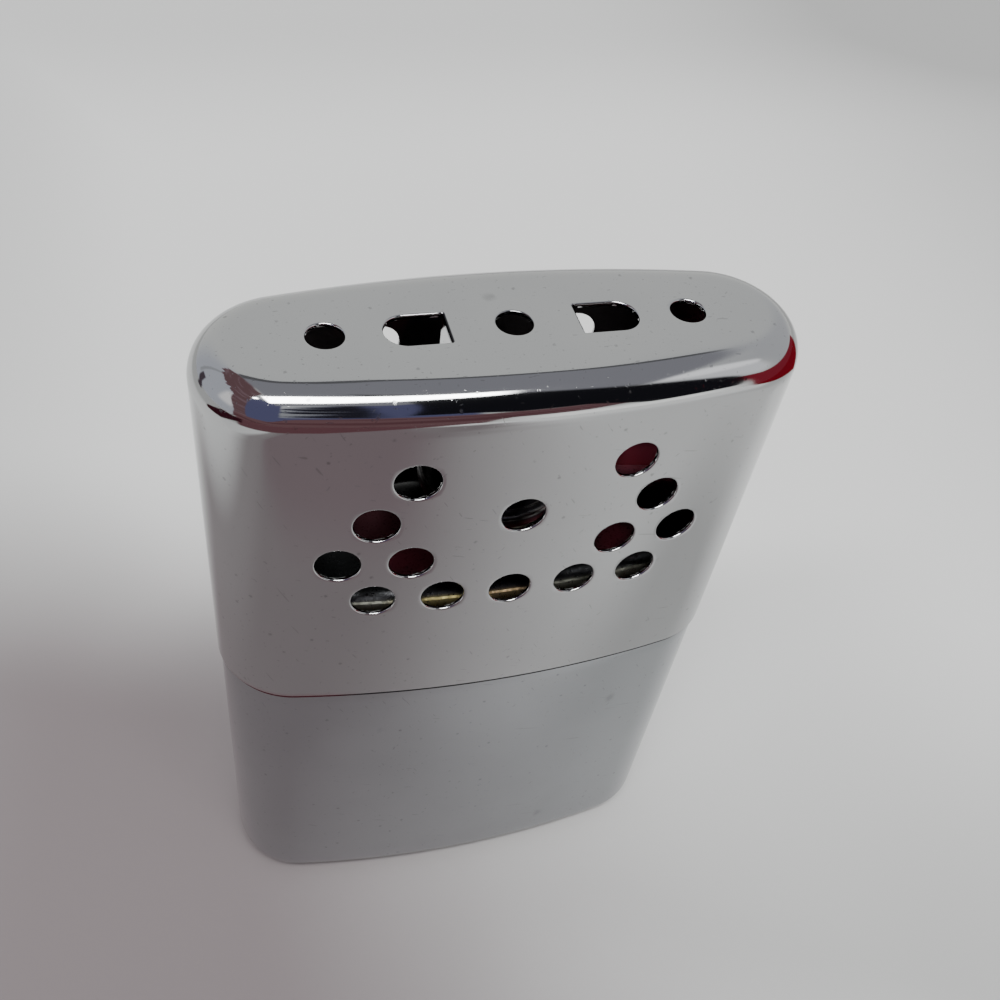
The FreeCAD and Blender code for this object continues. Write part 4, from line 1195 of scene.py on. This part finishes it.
def soft_surround(strength):
    """Light tent: pale walls, a lamp strip overhead, dark and tinted cards round about.

    A card's place is given by turn (degrees from +Y towards +X) and up (degrees above the
    table), or by across and along, which are measured on a plane overhead.
    """
    world = bpy.data.worlds.new("soft_surround")
    world.use_nodes = True
    world.node_tree.nodes.clear()
    nodes = Nodes(world.node_tree)
    x, y, z = nodes.add("ShaderNodeTexCoord").named("Generated").parts()
    turn = nodes.turn_of(x, y)
    up = z.math("ARCSINE") * DEGREES
    high = z.most(0.05)
    across, along = x / high, y / high
    wavy = (nodes.vector(turn * 0.25, up * 0.25, 0.0).noise(1.0, 1.0) - 0.5) * 3.0
    folds = nodes.vector(turn * 0.02, up * 0.22, 9.0).noise(1.0, 2.0)
    fingers = nodes.vector(turn * 0.11, 0.0, 5.0).noise(1.0, 1.0)
    pale = (0.84, 0.85, 0.83)
    # pale walls: cool on the left, dimmer on the right, with bright openings; each is given
    # by its turns and its ups, as two limits and the softness of their edges
    cards = [(turn.window(*turns) * up.window(*ups), tone) for turns, ups, tone in (
        ((235.0, 325.0, 14.0), (-5.0, 58.0, 6.0), (0.61, 0.63, 0.70)),
        ((304.0, 307.5, 0.8), (8.0, 44.0, 2.0), (0.44, 0.45, 0.48)),
        ((42.0, 108.0, 14.0), (6.0, 58.0, 8.0), (0.64, 0.65, 0.68)),
        ((112.0, 136.0, 7.0), (24.0, 52.0, 6.0), (1.05, 1.06, 1.10)),
        ((108.0, 130.0, 5.0), (44.0, 54.0, 3.0), (1.50, 1.50, 1.55)),
        ((139.0, 164.0, 5.0), (-6.0, 7.0, 3.0), (1.55, 1.55, 1.53)),
        ((251.0, 270.0, 4.0), (14.0, 38.0, 5.0), (1.10, 1.08, 1.10)))]
    # blue card with drawn streaks
    drawn = (nodes.vector(turn * 0.035, up * 0.24, 3.0).noise(1.0, 3.0, 0.6)
             + (turn - 190.0).between(-7.0, 5.0) * 0.022)
    streaks = (turn + wavy).window(180.5, 199.0, 2.0) * up.window(23.0, 58.0, 2.0)
    cards += [
        (turn.window(168.0, 243.0, 0.8) * (up + wavy).window(4.0, 57.0, 1.5),
         (0.13, 0.131, 0.25)),
        (streaks * drawn.ramp(0.46, 0.62), (0.42, 0.43, 0.46)),
        (streaks * drawn.ramp(0.60, 0.46), (0.025, 0.024, 0.035)),
        (streaks * (up + (turn - 188.0) * 0.8).ramp(50.0, 56.0), (0.75, 0.76, 0.80))]
    # brown cards: one leaning on the left, one low in front
    leaning = ((turn - up * 0.28 + wavy).ramp(229.5, 231.5)
               * (turn - up.ramp(8.0, 40.0, 0.0, 16.0)
                  - (up + fingers * 20.0).ramp(49.0, 59.0, 0.0, 62.0) + wavy).ramp(248.0, 246.0)
               * up.ramp(70.0, 67.0))
    low = turn.ramp(150.0, 158.0, 11.0, 6.5) + turn.ramp(165.0, 175.0, 0.0, -27.0)
    band = (turn.window(151.0, 246.0, 1.5) * up.ramp(low, low + 2.0)
            * (up + wavy * 0.5 + turn.ramp(180.0, 213.0, 0.0, 13.0)).ramp(22.5, 20.5))
    cards += [
        (leaning, (0.185, 0.105, 0.115)),
        (leaning * folds.ramp(0.50, 0.62) * 0.6, (0.30, 0.20, 0.23)),
        ((turn - up.ramp(5.0, -5.0, 0.0, -5.0)).window(294.5, 302.5, 1.2)
         * up.window(-8.0, 14.5, 1.5), (0.095, 0.072, 0.090)),
        (band, (0.215, 0.115, 0.125)),
        (band * folds.ramp(0.52, 0.40) * 0.7, (0.12, 0.045, 0.055)),
        # red card on the right
        (turn.window(66.0, 135.8, 1.0) * (up - (turn - 66.0) * 0.27).ramp(6.5, 4.5),
         (0.30, 0.026, 0.045))]
    # grey panel overhead with a dark far edge
    edge = across.ramp(0.05, 0.20, 0.57, 0.77) - across.ramp(0.35, 0.50, 0.0, 0.09)
    sides = across.window(-0.37, 0.65, 0.03)
    cards += [(sides * (along - edge).window(-1.30, 0.0, 0.02), (0.33, 0.33, 0.37)),
              (sides * (along - edge).window(-0.13, 0.0, 0.02), (0.15, 0.15, 0.16))]
    # black card towards the near side
    foot = turn.ramp(148.0, 156.0, 5.3, 21.0) + turn.ramp(163.0, 170.0, 0.0, 5.0)
    black = ((turn + up * 0.22).ramp(138.4, 139.4) * (turn + up * 0.19).ramp(182.4, 181.2)
             * up.ramp(foot - 0.5, foot + 1.0) * (along + across * 0.85).ramp(-0.03, -0.15))
    # lamp strip
    lamp = (along.ramp(-0.205, -0.255)
            * (along - (across * 0.5).most(-0.04)).ramp(-0.55, -0.49)
            * across.window(-0.43, 0.27, 0.035))
    lamp = lamp.most(across.window(-0.66, -0.56, 0.02) * along.window(-0.35, -0.29, 0.02))
    seen = nodes.add("ShaderNodeLightPath").named("Is Camera Ray")
    tone = nodes.over(pale, (up.ramp(-10.0, 60.0), (0.78, 0.79, 0.79)), *cards,
                      (black, (0.012, 0.012, 0.016)), (lamp, (24.0, 24.0, 24.0)), (seen, pale))
    background = nodes.add("ShaderNodeBackground", None, {"Color": tone, "Strength": strength})
    nodes.add("ShaderNodeOutputWorld", None, {"Surface": background})
    bpy.context.scene.world = world


def camera_turn(yaw, pitch, roll):
    """Turn that points a camera by heading, look-down angle and roll."""
    return (Matrix.Rotation(-yaw, 3, "Z") @ Matrix.Rotation(math.pi / 2 - pitch, 3, "X")
            @ Matrix.Rotation(roll, 3, "Z")).to_euler()


# --- operators

def build_stage(scene):
    """Lay the table, hang the soft surround and place the camera."""
    stage = scene.warmer_stage
    half = 3.0  # of the table's side
    mesh = bpy.data.meshes.new("table")
    mesh.from_pydata([(-half, -half, 0), (half, -half, 0), (half, half, 0), (-half, half, 0)],
                     [], [(0, 1, 2, 3)])
    mesh.materials.append(made_material("table_cover", table_cover, stage.table, stage.shade))
    table = bpy.data.objects.new("table", mesh)
    scene.collection.objects.link(table)
    soft_surround(stage.light)
    lens = bpy.data.cameras.new("camera")
    lens.lens, lens.sensor_width, lens.sensor_fit = stage.lens, 36.0, "HORIZONTAL"
    lens.clip_start = 0.005
    camera = bpy.data.objects.new("camera", lens)
    camera.location = stage.place
    camera.rotation_euler = camera_turn(stage.yaw, stage.pitch, stage.roll)
    scene.collection.objects.link(camera)
    scene.camera = camera


def build_cover(scene):
    """Make the slip-over cover with its vents, slots and tabs."""
    mesh = cover_mesh(scene.warmer_shells, scene.warmer_vents, finish("cover_chrome"),
                      finish("cover_inside"))
    piece("cover_pressed", mesh, "cover", "cover_chrome", "cover")


def build_tank(scene):
    """Make the tank's lower shell and its deck."""
    shells = scene.warmer_shells
    piece("tank_pressed", tank_mesh(shells), "tank", "tank_chrome", "tank_body")
    piece("deck_pressed", deck_mesh(shells), "tank", "deck_metal", "tank_deck")


def build_burner(scene):
    """Finish the burner's metal and make its gauzes and catalyst."""
    refinish("burner_nickel", "burner_socket", "burner_cage")
    refinish("spring_wire", "socket_clamp_ring")
    for node in ("lower_gauze", "upper_gauze"):
        add_gauze(node, "burner", scene.warmer_fillings)
    add_wool("catalyst_pad", "burner", "catalyst_wool", scene.warmer_fillings, 5.5e6)


def build_neck(scene):
    """Finish the neck and its washer and make the screen and the plug."""
    refinish("burner_nickel", "filler_neck", "wick_screen_ring")
    refinish("fibre_washer", "neck_gasket")
    add_gauze("wick_screen", "tank", scene.warmer_fillings)
    add_wool("neck_plug", "tank", "glass_wool", scene.warmer_fillings, 3.0e6)


def build_fillings(scene):
    """Make the wick and the wadding that hold the fuel."""
    fillings = scene.warmer_fillings
    low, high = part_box("wick")
    mesh = through_tree(strand_starts(high.x, fillings.strand), strand_tree(), {
        "Foot": low.z + WICK_END, "Top": high.z - WICK_END, "Strand": fillings.strand,
        "Twist": fillings.twist, "Material": finish("wick_cotton")})
    piece("wick_strands", mesh, "tank", "wick_cotton", "wick")
    piece("wadding_packed", packed_tank(scene.warmer_shells, fillings.lumps), "tank",
          "cotton_wadding", "fuel_wadding")


def refinish(name, *solids):
    """Gives a finish to solids that keep their shape."""
    for node in solids:
        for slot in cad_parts[node].material_slots:
            slot.material = finish(name)


def add_gauze(node, body, fillings):
    """Woven gauze in the place of a plain disc."""
    low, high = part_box(node)
    mesh = through_tree(bpy.data.meshes.new("blank"), gauze_tree(), {
        "Radius": high.x, "Level": (low.z + high.z) / 2, "Pitch": fillings.pitch,
        "Wire": fillings.wire, "Material": finish("gauze_wire")})
    piece(node + "_woven", mesh, body, "gauze_wire", node)


def add_wool(node, body, slot, fillings, density):
    """Packed wool with loose fibres in the place of a plain disc."""
    low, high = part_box(node)
    margin = Vector((1, 1, 1)) * fillings.fibre * 1.5
    mesh = packed_disc("blank", low + margin, high - margin, fillings.lumps)
    mesh = through_tree(mesh, fibre_tree(), {
        "Density": density, "Fibre": fillings.fibre, "Curl": fillings.curl,
        "Reach": high.x - margin.x, "Low": low.z + margin.z, "High": high.z - margin.z,
        "Material": finish(slot)})
    piece(node + "_wool", mesh, body, slot, node)


def operator(name, label, build):
    """Operator class that runs one step of the build, described as the step is."""
    def execute(self, context):
        build(context.scene)
        return {"FINISHED"}

    return type("WARMER_OT_" + name, (bpy.types.Operator,), {
        "bl_idname": "warmer." + name, "bl_label": label,
        "bl_description": build.__doc__.rstrip("."), "execute": execute})


class WARMER_PT_panel(bpy.types.Panel):
    """Buttons and sizes of the hand warmer"""

    bl_label = "Hand warmer"
    bl_space_type = "VIEW_3D"
    bl_region_type = "UI"
    bl_category = "Hand warmer"

    def draw(self, context):
        for name in STEPS:
            self.layout.operator("warmer." + name)
        for group in GROUPS:
            settings = getattr(context.scene, group)
            box = self.layout.box()
            for name in settings.__annotations__:
                box.prop(settings, name)


STEPS = {"stage": ("Stage", build_stage), "cover": ("Cover", build_cover),
         "tank": ("Tank", build_tank), "burner": ("Burner", build_burner),
         "neck": ("Neck", build_neck), "fillings": ("Wick and wadding", build_fillings)}
OPERATORS = [operator(name, *step) for name, step in STEPS.items()]
GROUPS = {"warmer_shells": WarmerShells, "warmer_vents": WarmerVents,
          "warmer_fillings": WarmerFillings, "warmer_finish": WarmerFinish,
          "warmer_stage": WarmerStage}
CLASSES = (*GROUPS.values(), *OPERATORS, WARMER_PT_panel)


def register():
    for kind in CLASSES:
        bpy.utils.register_class(kind)
    for name, kind in GROUPS.items():
        setattr(bpy.types.Scene, name, bpy.props.PointerProperty(type=kind))


def unregister():
    for name in GROUPS:
        delattr(bpy.types.Scene, name)
    for kind in reversed(CLASSES):
        bpy.utils.unregister_class(kind)


def main():
    register()
    for name in STEPS:
        getattr(bpy.ops.warmer, name)()


if __name__ == "__main__":
    main()
